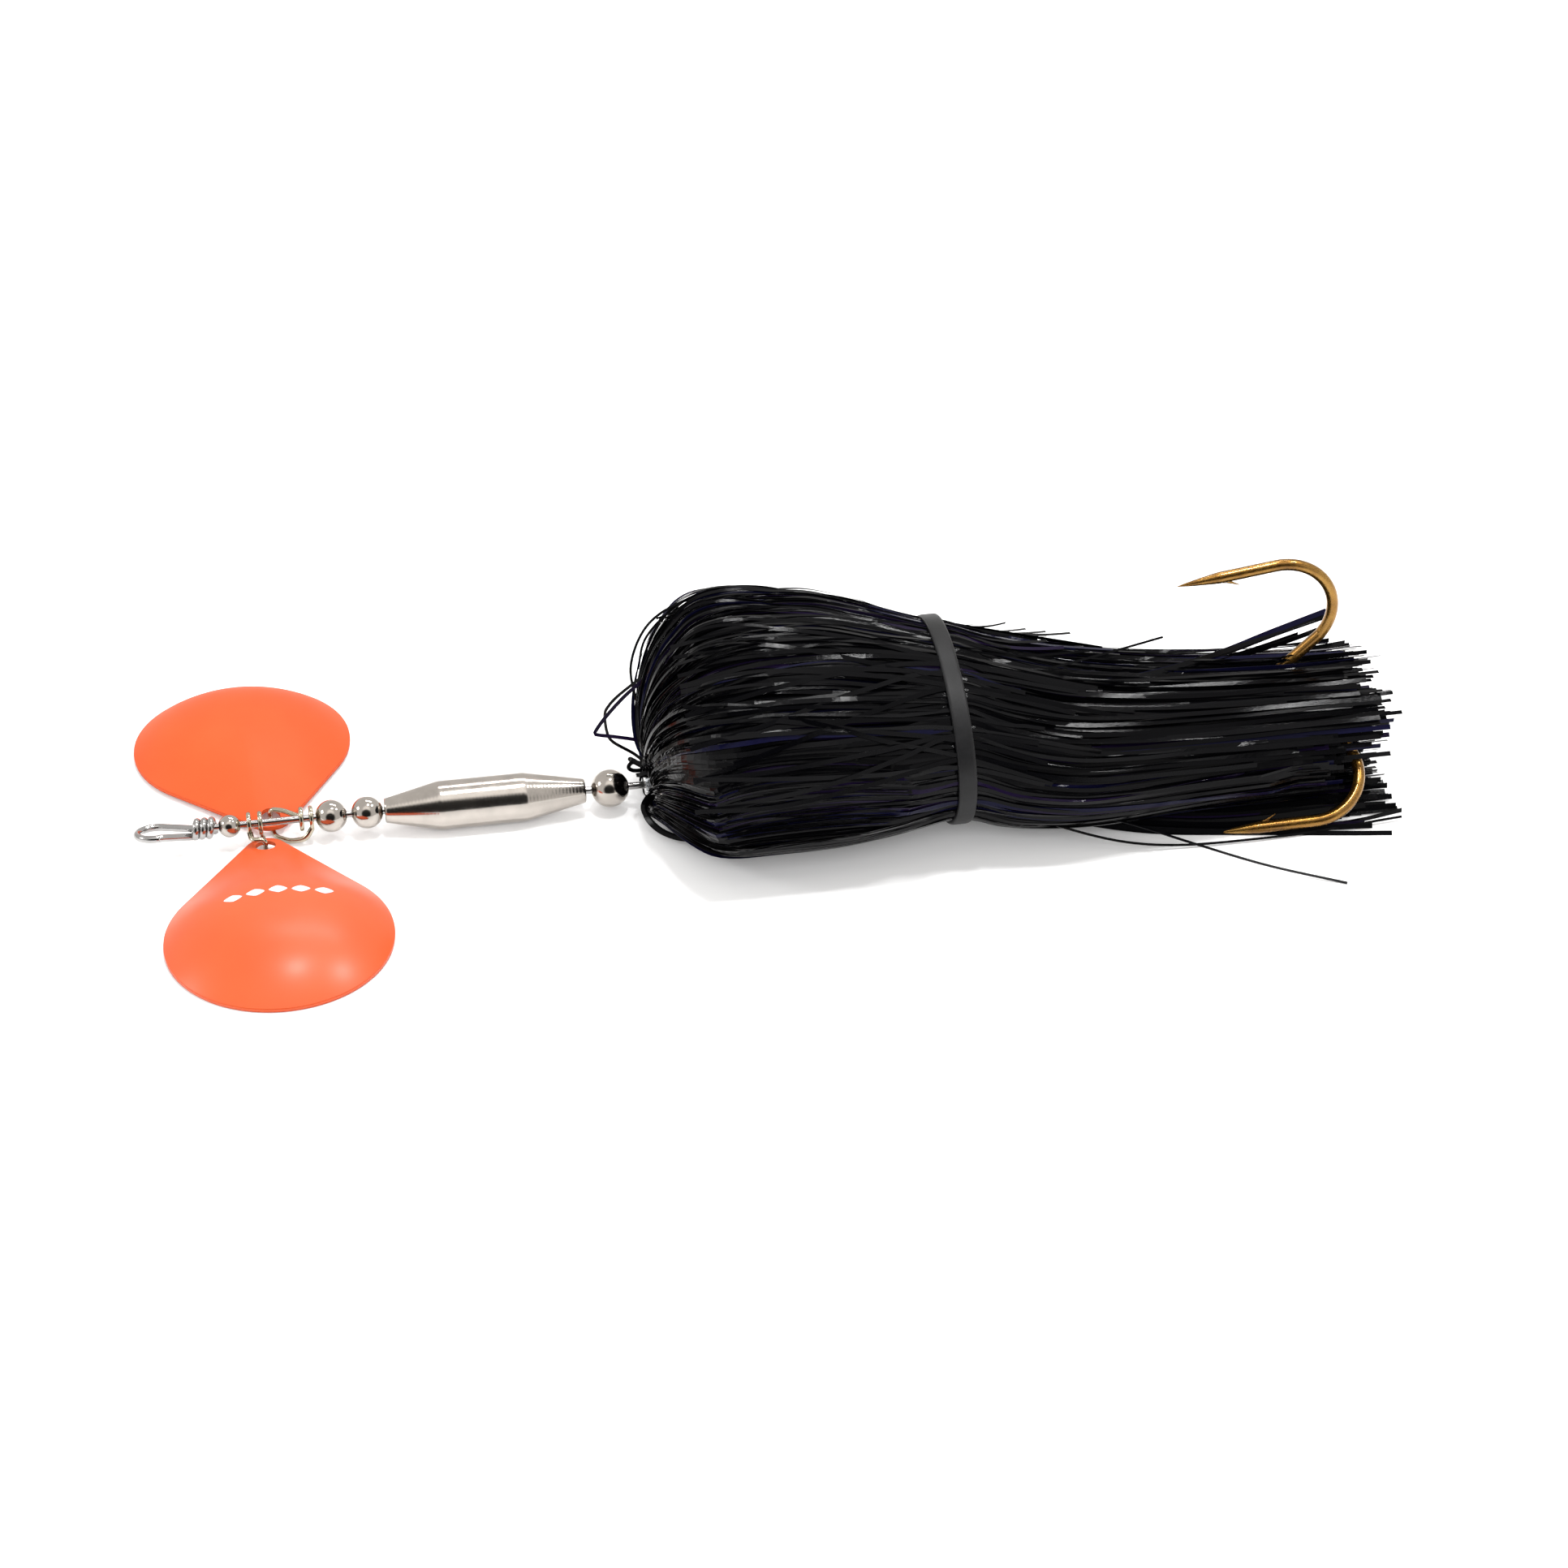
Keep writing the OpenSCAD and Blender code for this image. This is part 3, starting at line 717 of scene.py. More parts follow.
# Split ring.
PASS_A, PASS_B = np.array([179.2, 0, 0]), np.array([188.3, -3.2, 5.8])
ring_mid = (PASS_A + PASS_B) / 2
ring_r = np.linalg.norm(PASS_B - PASS_A) / 2
yaw = math.atan2(PASS_B[1] - PASS_A[1], PASS_B[0] - PASS_A[0])
flat_x = np.array([math.cos(yaw), math.sin(yaw), 0])
side = np.array([-math.sin(yaw), math.cos(yaw), 0])
RING_PITCH = 0.98
turns = np.linspace(0, 2 * 2 * math.pi * 0.97, 150)
ring_path = np.array([ring_mid + ring_r * (math.cos(a) * flat_x + math.sin(a) * np.array([0, 0, 1]))
                      + side * (a / (2 * math.pi) - 1) * RING_PITCH for a in turns])
piece("split_ring_detail", *sweep(ring_path, 0.5, 16, flat=(0.95, 1.0)), NICKEL, "split_ring",
      "nickel", 50, ["split_ring"])

# Tube and collar.
tube_line = [(102.7, WIRE_R + 0.02), (102.75, 2.1), (102.95, 2.25), (159.8, 2.25), (160, 2.1),
             (160, WIRE_R + 0.02)]
piece("skirt_tube_detail", *revolve(tube_line, 64), TUBE, "shaft", "clear_tube", 40,
      ["skirt_tube"])
core = [(104.5, 2.27), (104.5, 2.9), (105, 3.1), (107, 3.1), (107.5, 2.9), (107.5, 2.27)]
wind = [(104.75 + 2.5 * abs((a / (2 * math.pi * 9)) % 2 - 1), 3.2 * math.cos(a), 3.2 * math.sin(a))
        for a in np.linspace(0, 2 * math.pi * 17, 700)]
piece("thread_collar_detail", *joined([revolve(core, 64), sweep(np.array(wind), 0.19, 8)]),
      THREAD, "shaft", "thread", 40, ["thread_collar"])

# Skirt.
# Stations of the skirt's outside: x, middle y, middle z, half width and half height.
STATIONS = np.array([
    [105.2, 0, 0, 3.1, 3.1], [103.6, -0.6, 1.2, 5.8, 5.6], [103.2, -2.2, 4.9, 10.0, 9.0],
    [104.2, -4.4, 9.8, 15.6, 12.8], [106.6, -6.4, 13.6, 21.8, 16.8], [109.6, -7.8, 15.7, 27.0, 19.9],
    [113, -8.5, 17.1, 31.0, 22.3], [118, -9, 18.3, 33.4, 23.5], [126, -9, 18.9, 34.0, 24.0],
    [138, -9.2, 18.6, 33.4, 23.6], [148, -9.6, 17.6, 30.4, 22.2], [156, -9.8, 16.6, 27.4, 20.8],
    [162, -10, 16, 25.4, 19.6], [167.3, -10, 15.3, 25.2, 19.1], [176, -10.6, 12.4, 25.8, 18.4],
    [188, -11.2, 10.4, 26, 16.6], [200, -11.8, 9.4, 24.2, 15.4], [212, -12, 8.8, 22.2, 14.4],
    [226, -12, 8.2, 20.6, 13.7], [240, -12, 7.8, 19.6, 13.3], [252, -12, 7.6, 19.4, 13.1],
    [264, -12, 7.6, 19.4, 13.1]])


# A dense table through the stations, and the run along its upper line. A place x is looked up from
# the row FIRST_ROW on, past the turned-in front; a smaller x takes that row's run.
BAND_X, TAIL_X = 164.5, 167.3
FIRST_ROW = 300
STRAND_T = 0.07
HOOK_CLEAR = 1.75
TABLE = spline(STATIONS, 40)
RUN = lengths_along(np.stack([TABLE[:, 0], TABLE[:, 2] + TABLE[:, 4]], axis=1))


def run_at(x):
    return np.interp(x, TABLE[FIRST_ROW:, 0], RUN[FIRST_ROW:])


def section_at(run, columns=range(5)):
    """The skirt's x, middle, half width and half height at a run."""
    return [np.interp(run, RUN, TABLE[:, k]) for k in columns]


BAND_RUN, TAIL_RUN = float(run_at(BAND_X)), float(run_at(TAIL_X))
hook_points = np.vstack([double_path[::3], third_path[::3]])
rng = np.random.default_rng(41)


def soft_noise(count, rings, waves):
    """Slow random waves along each strand."""
    u = np.linspace(0, 1, rings)[None, :]
    out = np.zeros((count, rings))
    for k in waves:
        size = rng.normal(0, 1, (count, 1))
        out += size * np.sin(2 * math.pi * (k * u + rng.random((count, 1)))) / k
    return out


def on_section(cy, cz, hw, hh, inset, ang):
    """A point of an oval section; the far lower side is full, so that the shaft runs inside it."""
    turn = np.degrees(ang) % 360
    full = 1 + 0.8 * np.clip((turn - 250) / 40, 0, 1)
    up = np.sin(ang)
    half = hh - np.where(up < 0, np.minimum(inset, 1.0), inset)
    return cy + (hw - inset) * np.cos(ang), cz + half * np.maximum(up * full, -1)


def clear_hooks(paths, keep):
    """Moves strand points out of the hooks' wire."""
    flat = paths.reshape(-1, 3)
    pick = np.where(flat[:, 0] > 180)[0]
    p = flat[pick]
    d = p[:, None, :] - hook_points[None]
    dist = np.linalg.norm(d, axis=2)
    near_at = dist.argmin(axis=1)
    best = dist[np.arange(len(p)), near_at]
    close = best < keep
    away = d[np.arange(len(p)), near_at]
    away[:, 0] = 0
    size = np.maximum(np.linalg.norm(away, axis=1), 0.05)[:, None]
    moved = p + away / size * (keep - best)[:, None]
    p[close] = moved[close]
    flat[pick] = p
    return flat.reshape(paths.shape)


def strand_paths(theta, depth, x_end, rings, wander=2.2, bow=0.0):
    """Middle lines and outward normals of strands from the collar to their cut ends."""
    count = len(theta)
    end = run_at(x_end)
    u = np.linspace(0, 1, rings)[None, :]
    run = end[:, None] * u
    x, cy, cz, hw, hh = section_at(run)
    head = np.clip(1 - run / 28, 0, 1)
    past = np.clip((run - TAIL_RUN) / (RUN[-1] - TAIL_RUN), 0, 1)
    waist = np.clip(np.abs(run - BAND_RUN) / 14, 0, 1)
    free = waist * (1 - head)
    ang = theta[:, None] + np.radians(wander) * soft_noise(count, rings, (0.7, 1.6)) * free
    inset = depth[:, None] * (1 - 0.55 * head) * np.clip(run / 10, 0.15, 1)
    inset = inset + 0.28 * soft_noise(count, rings, (1.1, 2.3, 4.0)) * free
    inset = inset * (0.55 + 0.45 * waist)
    past_collar = head * np.clip(run / 6, 0, 1)
    x = x + depth[:, None] * 0.9 * past_collar
    x = x + rng.normal(0, 0.5, (count, 1)) * past_collar
    flare_y = rng.normal(0, 1.5, (count, 1)) * past ** 1.3
    flare_z = rng.normal(0, 1.0, (count, 1)) * past ** 1.3
    y, z = on_section(cy, cz, hw, hh, inset, ang)
    y, z = y + flare_y, z + flare_z
    low = FLOOR_Z + 0.12 + np.clip(inset, 0, 6) * 0.55 + rng.random((count, 1)) * 0.3
    floor_hit = z < low
    z = np.maximum(z, low)
    out = unit(np.stack([np.zeros_like(y), np.cos(ang) * hh, np.sin(ang) * hw], axis=2))
    out[floor_hit] = (0, 0, -1)
    # Off the floor the near side is held at y = -37.6, and at -30.8 towards the cut ends.
    y = np.where(z > FLOOR_Z + 1.4, np.maximum(y, -37.6 + 6.8 * np.clip((x - 214) / 22, 0, 1)), y)
    paths = np.stack([x, y, z], axis=2)
    share = np.clip((run - TAIL_RUN) / np.maximum(end[:, None] - TAIL_RUN, 1), 0, 1)
    return paths + out * (bow * share ** 2)[..., None], out


def ribbons(name, paths, out, width, thick, tilt, material, tints):
    """Closed flat ribbons along the paths, as one mesh with a tint and a UV for each."""
    count, rings, _ = paths.shape
    t = unit(np.gradient(paths, axis=1))
    n = unit(out - (out * t).sum(2, keepdims=True) * t)
    b = np.cross(t, n)
    c, s = np.cos(tilt)[..., None], np.sin(tilt)[..., None]
    n2 = n * c + b * s
    b2 = b * c - n * s
    w = width[..., None] / 2
    h = thick / 2
    verts = np.stack([paths + b2 * w + n2 * h, paths - b2 * w + n2 * h,
                      paths - b2 * w - n2 * h, paths + b2 * w - n2 * h], axis=2)
    verts[..., 2] = np.maximum(verts[..., 2], FLOOR_Z + 0.03)
    flat = verts.reshape(-1, 3) * MM
    base = (np.arange(count) * rings * 4)[:, None, None]
    ring = (np.arange(rings - 1) * 4)[None, :, None]
    side = np.arange(4)[None, None, :]
    nxt = (side + 1) % 4
    quads = np.stack([base + ring + side, base + ring + 4 + side, base + ring + 4 + nxt,
                      base + ring + nxt], axis=3).reshape(-1, 4)
    first = (np.arange(count) * rings * 4)[:, None] + np.array([0, 1, 2, 3])
    last = (np.arange(count) * rings * 4 + (rings - 1) * 4)[:, None] + np.array([3, 2, 1, 0])
    faces = np.vstack([quads, first, last])
    mesh = bpy.data.meshes.new(name)
    mesh.vertices.add(len(flat))
    mesh.vertices.foreach_set("co", flat.ravel())
    mesh.loops.add(faces.size)
    mesh.loops.foreach_set("vertex_index", faces.ravel())
    mesh.polygons.add(len(faces))
    mesh.polygons.foreach_set("loop_start", np.arange(0, faces.size, 4))
    mesh.update(calc_edges=True)
    mesh.materials.append(material)
    uv = mesh.uv_layers.new(name="UVMap")
    length = lengths_along(paths)
    across = np.array([1.0, 0.0, 0.0, 1.0])
    vu = np.broadcast_to(across, (count, rings, 4)) + np.arange(count)[:, None, None] * 3.7
    vv = np.broadcast_to(length[:, :, None], (count, rings, 4))
    uvs = np.stack([vu.reshape(-1), vv.reshape(-1)], axis=1)[faces.ravel()]
    uv.data.foreach_set("uv", uvs.ravel())
    colour = mesh.color_attributes.new("tint", "FLOAT_COLOR", "POINT")
    corners = count * rings * 4
    rgba = np.concatenate([np.repeat(tints, rings * 4, axis=0), np.ones((corners, 1))], axis=1)
    colour.data.foreach_set("color", rgba.ravel())
    mesh.validate()
    mesh.shade_flat()
    obj = bpy.data.objects.new(name, mesh)
    scene.collection.objects.link(obj)
    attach(obj, "shaft")
    return obj


BLACKS = np.array([[0.0025, 0.0025, 0.003], [0.0045, 0.0045, 0.005], [0.0015, 0.0015, 0.002]])
NAVIES = np.array([[0.005, 0.005, 0.022], [0.009, 0.005, 0.020]])


def strand_tints(count):
    tints = BLACKS[rng.integers(0, 3, count)]
    odd = rng.random(count) < 0.14
    tints[odd] = NAVIES[rng.integers(0, 2, int(odd.sum()))]
    return tints


def ends(count, theta):
    """Where each strand is cut, ragged, with a few of the upper strands cut short."""
    x = 249 + 9.5 * rng.random(count) + rng.normal(0, 1.2, count)
    short = rng.random(count) < 0.14
    x[short] = 226 + 24 * rng.random(int(short.sum()))
    front = (np.degrees(theta) > 148) & (np.degrees(theta) < 232)
    x[front] = np.minimum(x[front], 238 + 9 * rng.random(int(front.sum())))
    upper = (np.sin(theta) > 0.5) & (rng.random(count) < 0.3)
    x[upper] = 178 + 40 * rng.random(int(upper.sum())) ** 1.4
    return np.clip(x, 176, 261)


def layer(name, count, depth_low, depth_high, rings, width_mid, material, tilt_deg, twisters):
    """One layer of strands from the collar to their cut ends; twisters is the share that twist."""
    theta = (np.arange(count) + rng.random(count) * 0.9) / count * 2 * math.pi
    depth = depth_low + (depth_high - depth_low) * rng.random(count)
    paths, out = strand_paths(theta, depth, ends(count, theta), rings)
    paths = clear_hooks(paths, HOOK_CLEAR)
    run = lengths_along(paths)
    grow = 0.32 + 0.68 * np.clip(run / 24, 0, 1) ** 0.8
    width = width_mid * (0.88 + 0.24 * rng.random((count, 1))) * grow
    lean = rng.normal(0, 0.6, (count, 1))
    tilt = np.radians(tilt_deg) * (lean + 0.8 * soft_noise(count, rings, (1.0, 2.0)))
    twisted = rng.random((count, 1)) < twisters
    way = rng.choice([-1, 1], (count, 1))
    spin = twisted * way * math.pi * (0.6 + rng.random((count, 1)))
    past = np.clip((run - TAIL_RUN) / 90, 0, 1)
    bunched = np.exp(-run / 11) * rng.normal(0, 0.9, (count, 1))
    tilt = tilt + spin * past + bunched
    return ribbons(name, paths, out, width, STRAND_T, tilt, material, strand_tints(count))


outer = layer("skirt_strands_outer", 250, 0.0, 0.9, 90, 0.95, TINSEL, 14, 0.12)
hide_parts("skirt_head", "skirt_bulb", "skirt_tail")
layer("skirt_strands_middle", 260, 0.9, 2.3, 80, 1.0, TINSEL, 18, 0.15)
layer("skirt_strands_inner", 260, 2.3, 5.0, 64, 1.05, TINSEL_DEEP, 22, 0.2)


def fill_strands(name, count, rings):
    """Strands that fill the inside of the tail behind the band."""
    theta = rng.random(count) * 2 * math.pi
    depth = 5 + 13 * np.sqrt(rng.random(count))
    x_end = ends(count, theta * 0)
    start = TAIL_RUN - 16
    run = start + (run_at(x_end)[:, None] - start) * np.linspace(0, 1, rings)[None, :]
    x, cy, cz, hw, hh = section_at(run)
    ratio = np.clip(1 - depth[:, None] / 26, 0.15, 1)
    past = np.clip((run - TAIL_RUN) / 90, 0, 1)
    y = cy + hw * ratio * np.cos(theta[:, None]) + rng.normal(0, 1.4, (count, 1)) * past
    z = cz + hh * ratio * np.sin(theta[:, None]) + rng.normal(0, 0.9, (count, 1)) * past
    z = np.maximum(z, FLOOR_Z + 0.5 + 1.4 * rng.random((count, 1)))
    axis_near = np.hypot(y, z) < 4.6
    z = np.where(axis_near, z + 5, z)
    paths = clear_hooks(np.stack([x, y, z], axis=2), HOOK_CLEAR)
    spoke = np.stack([np.zeros(count), np.cos(theta), np.sin(theta)], axis=1)
    out = np.broadcast_to(spoke[:, None], paths.shape).copy()
    tilt = rng.normal(0, 0.7, (count, 1)) + 0.3 * soft_noise(count, rings, (1.0,))
    width = np.full((count, rings), 1.0)
    return ribbons(name, paths, out, width, STRAND_T, tilt, TINSEL_DEEP, strand_tints(count))


fill_strands("skirt_strands_fill", 220, 40)


def raised_strands(name, count, rings):
    """Short upper strands whose cut ends stand a little off the tail."""
    theta = np.radians(34 + 62 * rng.random(count))
    x_end = 178 + 30 * rng.random(count)
    bow = (0.6 + 2.6 * rng.random((count, 1))) * np.ones((1, rings))
    paths, out = strand_paths(theta, 0.1 + 0.5 * rng.random(count), x_end, rings, 2.2, bow)
    tilt = rng.normal(0, 0.35, (count, 1)) * np.ones((1, rings))
    return ribbons(name, paths, out, np.full((count, rings), 1.0), STRAND_T, tilt, TINSEL,
                   strand_tints(count))


raised_strands("skirt_strands_raised", 16, 70)


def airy_strands(name, count, rings):
    """Single strands that stand off the top of the head, so that light shows between them."""
    theta = np.radians(28 + 112 * rng.random(count))
    x_end = 172 + 40 * rng.random(count)
    paths, out = strand_paths(theta, 0.3 * rng.random(count), x_end, rings, 3.0)
    run = lengths_along(paths)
    stand = 0.8 + 3.2 * rng.random((count, 1))
    lift = stand * np.sin(math.pi * np.clip((run - 1) / 56, 0, 1))
    paths = paths + out * lift[..., None]
    paths[..., 0] -= 0.9 * lift * np.clip(1 - run / 34, 0, 1)
    tilt = rng.normal(0, 0.5, (count, 1)) + 0.4 * soft_noise(count, rings, (1.0, 2.0))
    width = (0.5 + 0.35 * rng.random((count, 1))) * np.ones((1, rings))
    return ribbons(name, paths, out, width, STRAND_T, tilt, TINSEL, strand_tints(count))


airy_strands("skirt_strands_airy", 64, 100)


def on_surface(x, degrees, lift):
    """A point on the skirt's outer surface at a distance along it and an angle round it."""
    run = run_at(x)
    cy, cz, hw, hh = section_at(run, range(1, 5))
    a = math.radians(degrees)
    return (x, cy + (hw + lift) * math.cos(a), cz + (hh + lift) * math.sin(a))


def crossing_strands(name, count, rings):
    """Strands that run slantwise over their neighbours and under the band, as (x, degrees) lines."""
    lines = [[(107.5, 162), (128, 147), (146, 135), (162.5, 123), (176, 117)],
             [(107.5, 180), (132, 168), (150, 158), (163, 149), (180, 144)],
             [(107.5, 124), (130, 138), (148, 150), (163, 161), (182, 168)]]
    for _ in range(count - len(lines)):
        start = 40 + 165 * rng.random()
        lean = rng.normal(0, 9)
        lines.append([(107.5, start), (124, start + 0.3 * lean), (144, start + 0.8 * lean),
                      (163, start + 1.3 * lean), (176 + 26 * rng.random(), start + 1.5 * lean)])
    buried, proud = -3.5, 0.25
    paths = np.stack([smooth_path([on_surface(x, a, buried if x < 108 else proud) for x, a in line],
                                  rings) for line in lines])
    run = run_at(paths[..., 0])
    middle = np.stack([np.zeros_like(run), *section_at(run, (1, 2))], axis=2)
    out = paths - middle
    out[..., 0] = 0
    out = unit(out)
    tilt = rng.normal(0, 0.15, (len(lines), 1)) * np.ones((1, rings))
    width = np.full((len(lines), rings), 0.95)
    tints = BLACKS[rng.integers(0, 3, len(lines))]
    return ribbons(name, paths, out, width, STRAND_T, tilt, TINSEL, tints)


crossing_strands("skirt_strands_crossing", 22, 60)


def packed_core():
    """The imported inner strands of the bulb, as one closed dark sleeve."""
    runs = np.linspace(run_at(106.5), run_at(200), 60)
    steps = 180
    outside, inside = 5.2, 6.4
    rows = []
    for inset in (outside, inside):
        for r in runs:
            x, cy, cz, hw, hh = section_at(r)
            a = np.linspace(0, 2 * math.pi, steps, endpoint=False)
            rib = 0.22 * np.sin(a * 90 + 3 * math.sin(r * 0.05))
            y, z = on_section(cy, cz, hw, hh, inset - rib, a)
            z = np.maximum(z, FLOOR_Z + 0.5 + (inset - outside) * 0.4)
            rows.append(np.stack([np.full(steps, x), y, z], axis=1))
    n = len(runs)
    inner, last = n * steps, (n - 1) * steps
    faces = []
    for a in range(0, last, steps):
        faces += strip_back(a, a + steps, steps)
        faces += strip(inner + a, inner + a + steps, steps)
    faces += strip_back(inner, 0, steps)
    faces += strip_back(last, inner + last, steps)
    return np.vstack(rows), faces


core_verts, core_faces = packed_core()
core_obj = piece("skirt_packed_core", core_verts, core_faces, TINSEL_DEEP, "shaft", "tinsel", 60)
core_tint = core_obj.data.color_attributes.new("tint", "FLOAT_COLOR", "POINT")
core_tint.data.foreach_set("color", np.tile([0.002, 0.002, 0.0025, 1.0], len(core_verts)))

# Loose strands and loops.
LOOPS = [
    [(104.6, 1.5, 2.8), (103.6, 2.6, 7.2), (102.2, 3, 9.2), (97.5, 3, 10.7), (93.5, 3, 11.7),
     (92.9, 3, 12.4), (94.8, 3, 15.4), (97.6, 3, 18.8), (100.4, 2.6, 22), (104.5, 2, 26)],
    [(104.2, 3, 2.3), (101.3, 3.4, 5.6), (96.7, 3.6, 9.2), (95.5, 3.8, 11.8), (95.2, 4, 15.9),
     (95.9, 4, 17.8), (98.1, 4, 20.3), (103, 3, 25)],
    [(104.6, 2, 3), (101, 2.6, 4.2), (99.8, 3, 2.8), (101, 3, 1.8), (104.4, 2.4, 2.2)],
    [(104.6, -2.4, -1), (102.6, -4.6, -0.8), (101.4, -7, -1), (101.8, -10, -2.2),
     (104, -13.4, -3.2), (107.6, -16.4, -3.2), (112, -18.6, -1.6), (117, -19.6, 0.6)],
    [(104.6, -2.2, -1.6), (103, -4.4, -1.6), (102, -6.4, -2), (102.8, -9.2, -3.2),
     (105.4, -12.4, -4.2), (109.6, -15.2, -4.2), (114.6, -16.6, -2.6), (120, -17, -0.4)],
    [(104.6, -2.6, 0), (102.2, -5.6, 0.2), (101, -8.8, 0), (101.8, -12.4, -0.8),
     (104.4, -16.2, -1.8), (108.4, -19.4, -1.6), (113, -21.4, 0.2), (118, -22, 2.6)],
    [(104.6, 1.8, 2.0), (100.6, 2.0, 4.8), (100.0, 0, 6.8), (103, -2.4, 6.2), (106, -4, 8)],
    [(104.6, -1, 2.6), (100.9, -3.6, 5), (100.9, -6.4, 7), (104.6, -7.4, 8.6), (109, -9, 10)],
]
HAIRS = [
    [(103.4, 11, 22), (105.4, 12, 29), (111.6, 12, 35.8), (118, 12, 38.9), (124.2, 12, 39.5),
     (131.2, 12, 38.5), (138.2, 12, 36), (150, 11, 32)],
    [(102.4, 6, 16), (101.6, 9, 24), (105, 11.4, 31.4), (111, 12, 36), (120, 12, 38.4),
     (130, 11, 38.6)],
    [(166, -20, 31), (185, -14, 28.4), (200, -8, 27), (213.5, -3, 26.4)],
    [(168, -31, 14), (184, -32, 6), (199, -33.4, 1.2), (212, -39, -1.8), (226, -46.6, -3.9),
     (241, -54.3, -4.9)],
    [(168, -30, 8), (200, -35, -3), (230, -36, -4.6), (259, -34, -4.2)],
    [(167, -12, 34), (180, -12, 31), (196, -9, 28.6)],
]


def loose(name, lines, width, thick):
    """Strands along given lines, their flat sides to the near side and up."""
    count, rings = len(lines), 60
    paths = np.stack([smooth_path(line, rings) for line in lines])
    out = np.broadcast_to(np.array([-0.15, -0.82, 0.56]), paths.shape).copy()
    tilt = rng.normal(0, 0.35, (count, 1)) * np.ones((1, rings))
    return ribbons(name, paths, out, np.full((count, rings), width), thick, tilt, TINSEL,
                   strand_tints(count))


loose("skirt_loops", LOOPS, 0.85, 0.08)
loose("skirt_hairs", HAIRS, 0.5, 0.25)

# Strands that lie apart: a group over the third hook's leg, and others flat on the surface below
SWEPT = [
    [(184, -19, 25.6), (203, -13.5, 23.6), (221, -6.5, 22.2), (237, 0, 22.2), (249, 4.2, 22.8)],
    [(184, -18, 26.2), (205, -12.5, 23.4), (223, -5.5, 22.0), (239, 1, 22.6), (252, 5.2, 23.8)],
    [(186, -17, 26.0), (207, -11.5, 22.8), (225, -4.5, 21.4), (241, 2, 21.6), (254.5, 6.2, 22.4)],
    [(186, -18, 25.4), (206, -13, 22.6), (224, -6.6, 21.0), (240, -1, 20.6), (251, 3, 21)],
    [(196, -14, 24), (214, -8, 21.2), (230, -3, 20.2), (245, 2, 20.6)],
    [(205, -4, 21.5), (225, -1, 17.6), (242, 3, 15.4), (257.5, 7, 14.0)],
    [(200, -3, 22), (224, 0, 17.6), (243, 4, 14.8), (259, 8, 12.6)],
    [(178, -22, -1), (204, -29, -4.4), (230, -34, -4.8), (246, -37, -4.9), (255.5, -38.6, -4.9)],
    [(180, -21, -1), (206, -28, -4.2), (228, -32.4, -4.6), (246, -33.4, -4.8), (260, -31, -4.7)],
]
for _ in range(54):
    side = rng.random()
    spread = rng.normal(0, 1.4)
    high = 1.6 * rng.random()
    last = 245 + 15 * rng.random()
    SWEPT.append([(178, -12 - 9 * side, -1.5), (196, -13 - 14 * side, -3.8 + high),
                  (220, -14 - 18.5 * side, -4.7 + high),
                  (last, -14 - 20 * side + spread, -4.7 + high)])
loose("skirt_swept_strands", SWEPT, 1.15, 0.08)


# Rubber band.
def band_ring():
    """The band's closed loop round the waist: a rounded strip, sunk a little and slightly uneven."""
    steps, around = 220, 28
    half_w, half_h, half_t = 25.4, 19.6, 0.72
    lowest = FLOOR_Z + 0.75
    rows = []
    for j in range(steps):
        a = 2 * math.pi * j / steps
        y0, z0 = -10 + half_w * math.cos(a), 16 + half_h * math.sin(a)
        n = unit(np.array([math.cos(a) * half_h, math.sin(a) * half_w]))
        if z0 < lowest:
            z0 = lowest
            n = np.array([0.0, -1.0])
        lean = 0.5 * math.sin(a * 2 + 0.6) + 0.9 * math.sin(a + 2.9)
        for k in range(around):
            b = 2 * math.pi * k / around
            cx = abs(math.cos(b)) ** 0.35 * math.copysign(1, math.cos(b))
            ch = abs(math.sin(b)) ** 0.6 * math.copysign(1, math.sin(b))
            h = half_t * ch
            rows.append((BAND_X + lean * 0.5 + 1.95 * cx, y0 + n[0] * h, z0 + n[1] * h))
    faces = []
    for j in range(steps):
        faces += strip(j * around, (j + 1) % steps * around, around)
    return rows, faces


piece("retaining_band_detail", *band_ring(), RUBBER, "shaft", "band_rubber", 45, ["retaining_band"])

# Floor, world and lights.
SIZE = 6.0
floor_mesh = bpy.data.meshes.new("floor")
floor_mesh.from_pydata([(x * SIZE, y * SIZE, FLOOR_Z * MM) for x, y in
                        ((-1, -1), (1, -1), (1, 1), (-1, 1))], [], [(0, 1, 2, 3)])
floor_mesh.materials.append(floor_material())
floor = bpy.data.objects.new("floor", floor_mesh)
scene.collection.objects.link(floor)

world = bpy.data.worlds.new("studio")
scene.world = world
world.use_nodes = True
wt = world.node_tree
background = wt.nodes["Background"]
coord = wt.nodes.new("ShaderNodeTexCoord")


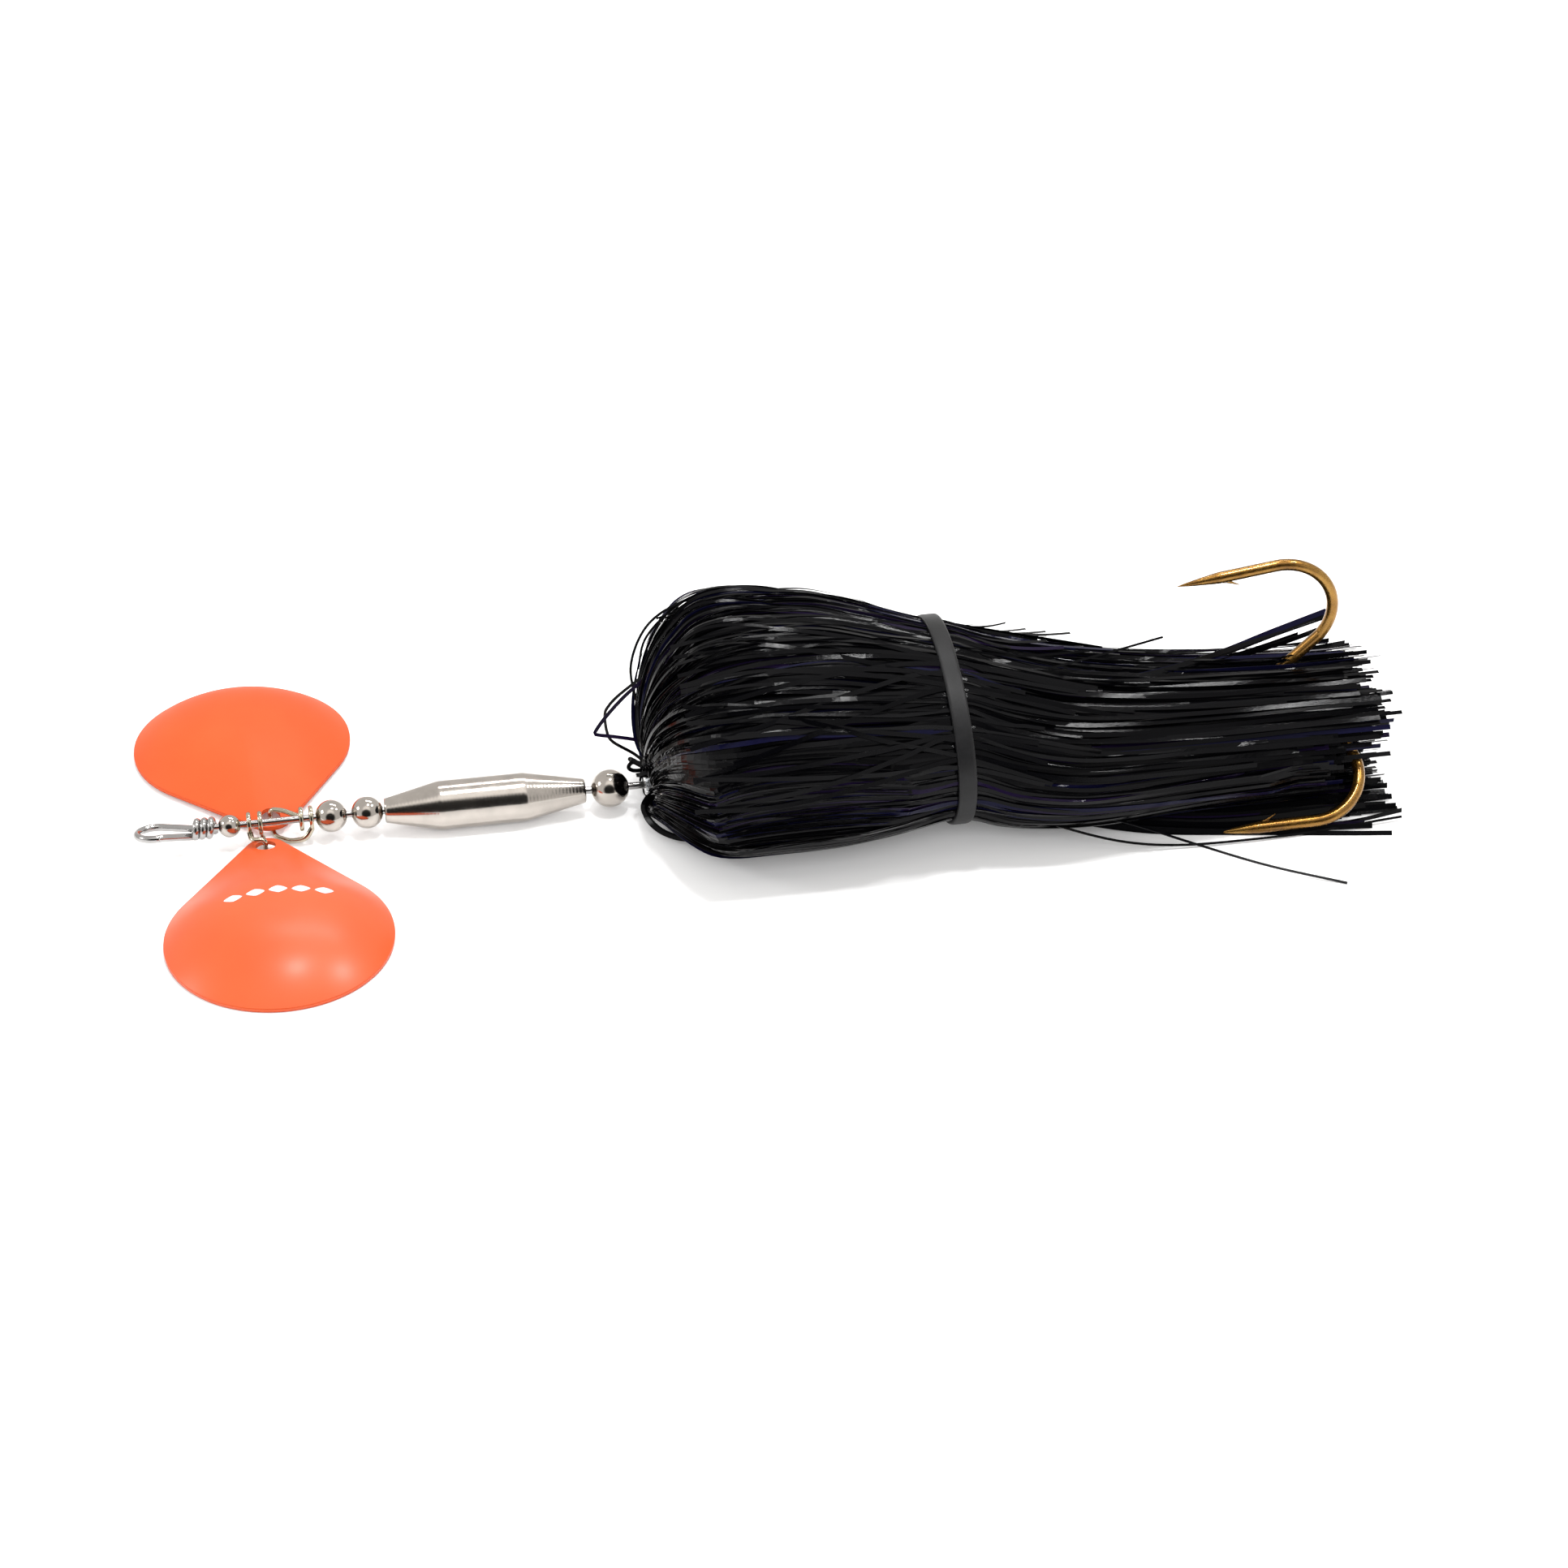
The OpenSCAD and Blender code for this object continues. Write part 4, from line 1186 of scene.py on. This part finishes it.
def sky_zone(direction, stops):
    """A brightness that depends on the angle from one direction."""
    aim = wt.nodes.new("ShaderNodeVectorMath")
    aim.operation = "DOT_PRODUCT"
    aim.inputs[1].default_value = Vector(direction).normalized()
    wt.links.new(coord.outputs["Generated"], aim.inputs[0])
    zone = wt.nodes.new("ShaderNodeValToRGB")
    zone.color_ramp.interpolation = "EASE"
    for element, (place, level) in zip(zone.color_ramp.elements, stops):
        element.position = place
        element.color = (level, level * 0.99, level * 0.975, 1)
    wt.links.new(aim.outputs["Value"], zone.inputs["Fac"])
    return zone.outputs["Color"]


bright = sky_zone((-0.1, -0.54, 0.84), [(0.86, 0.60), (0.98, 1.1)])
dark = sky_zone((-0.17, -0.91, 0.37), [(0.76, 1.0), (0.91, 0.03)])
both = wt.nodes.new("ShaderNodeMix")
both.data_type, both.blend_type = "RGBA", "MULTIPLY"
both.inputs["Factor"].default_value = 1.0
wt.links.new(bright, both.inputs[6])
wt.links.new(dark, both.inputs[7])
wt.links.new(both.outputs[2], background.inputs["Color"])
background.inputs["Strength"].default_value = 1.45


def area(name, direction, distance, size_x, size_y, power):
    """A soft rectangular lamp that looks at the middle of the lure."""
    data = bpy.data.lights.new(name, "AREA")
    data.shape = "RECTANGLE"
    data.size, data.size_y = size_x, size_y
    data.energy = power
    lamp = bpy.data.objects.new(name, data)
    scene.collection.objects.link(lamp)
    aimed = Vector(direction).normalized()
    lamp.location = Vector((0.125, -0.005, 0.0)) + aimed * distance
    lamp.rotation_mode = "QUATERNION"
    lamp.rotation_quaternion = (-aimed).to_track_quat("-Z", "Y")
    return lamp


area("key_overhead", (0.03, -0.03, 0.99), 0.9, 0.09, 0.06, 2.8)
area("key_rear", (0.49, -0.04, 0.87), 0.9, 0.09, 0.06, 2.6)
area("back_strip", (0.15, 0.52, 0.84), 0.9, 0.5, 0.07, 2.0)
area("side_left", (-0.9, 0.1, 0.5), 1.2, 0.3, 0.2, 3.0)
fill = area("fill_front", (-0.15, -0.8, 0.6), 1.2, 0.9, 0.6, 8.0)
fill.visible_glossy = False
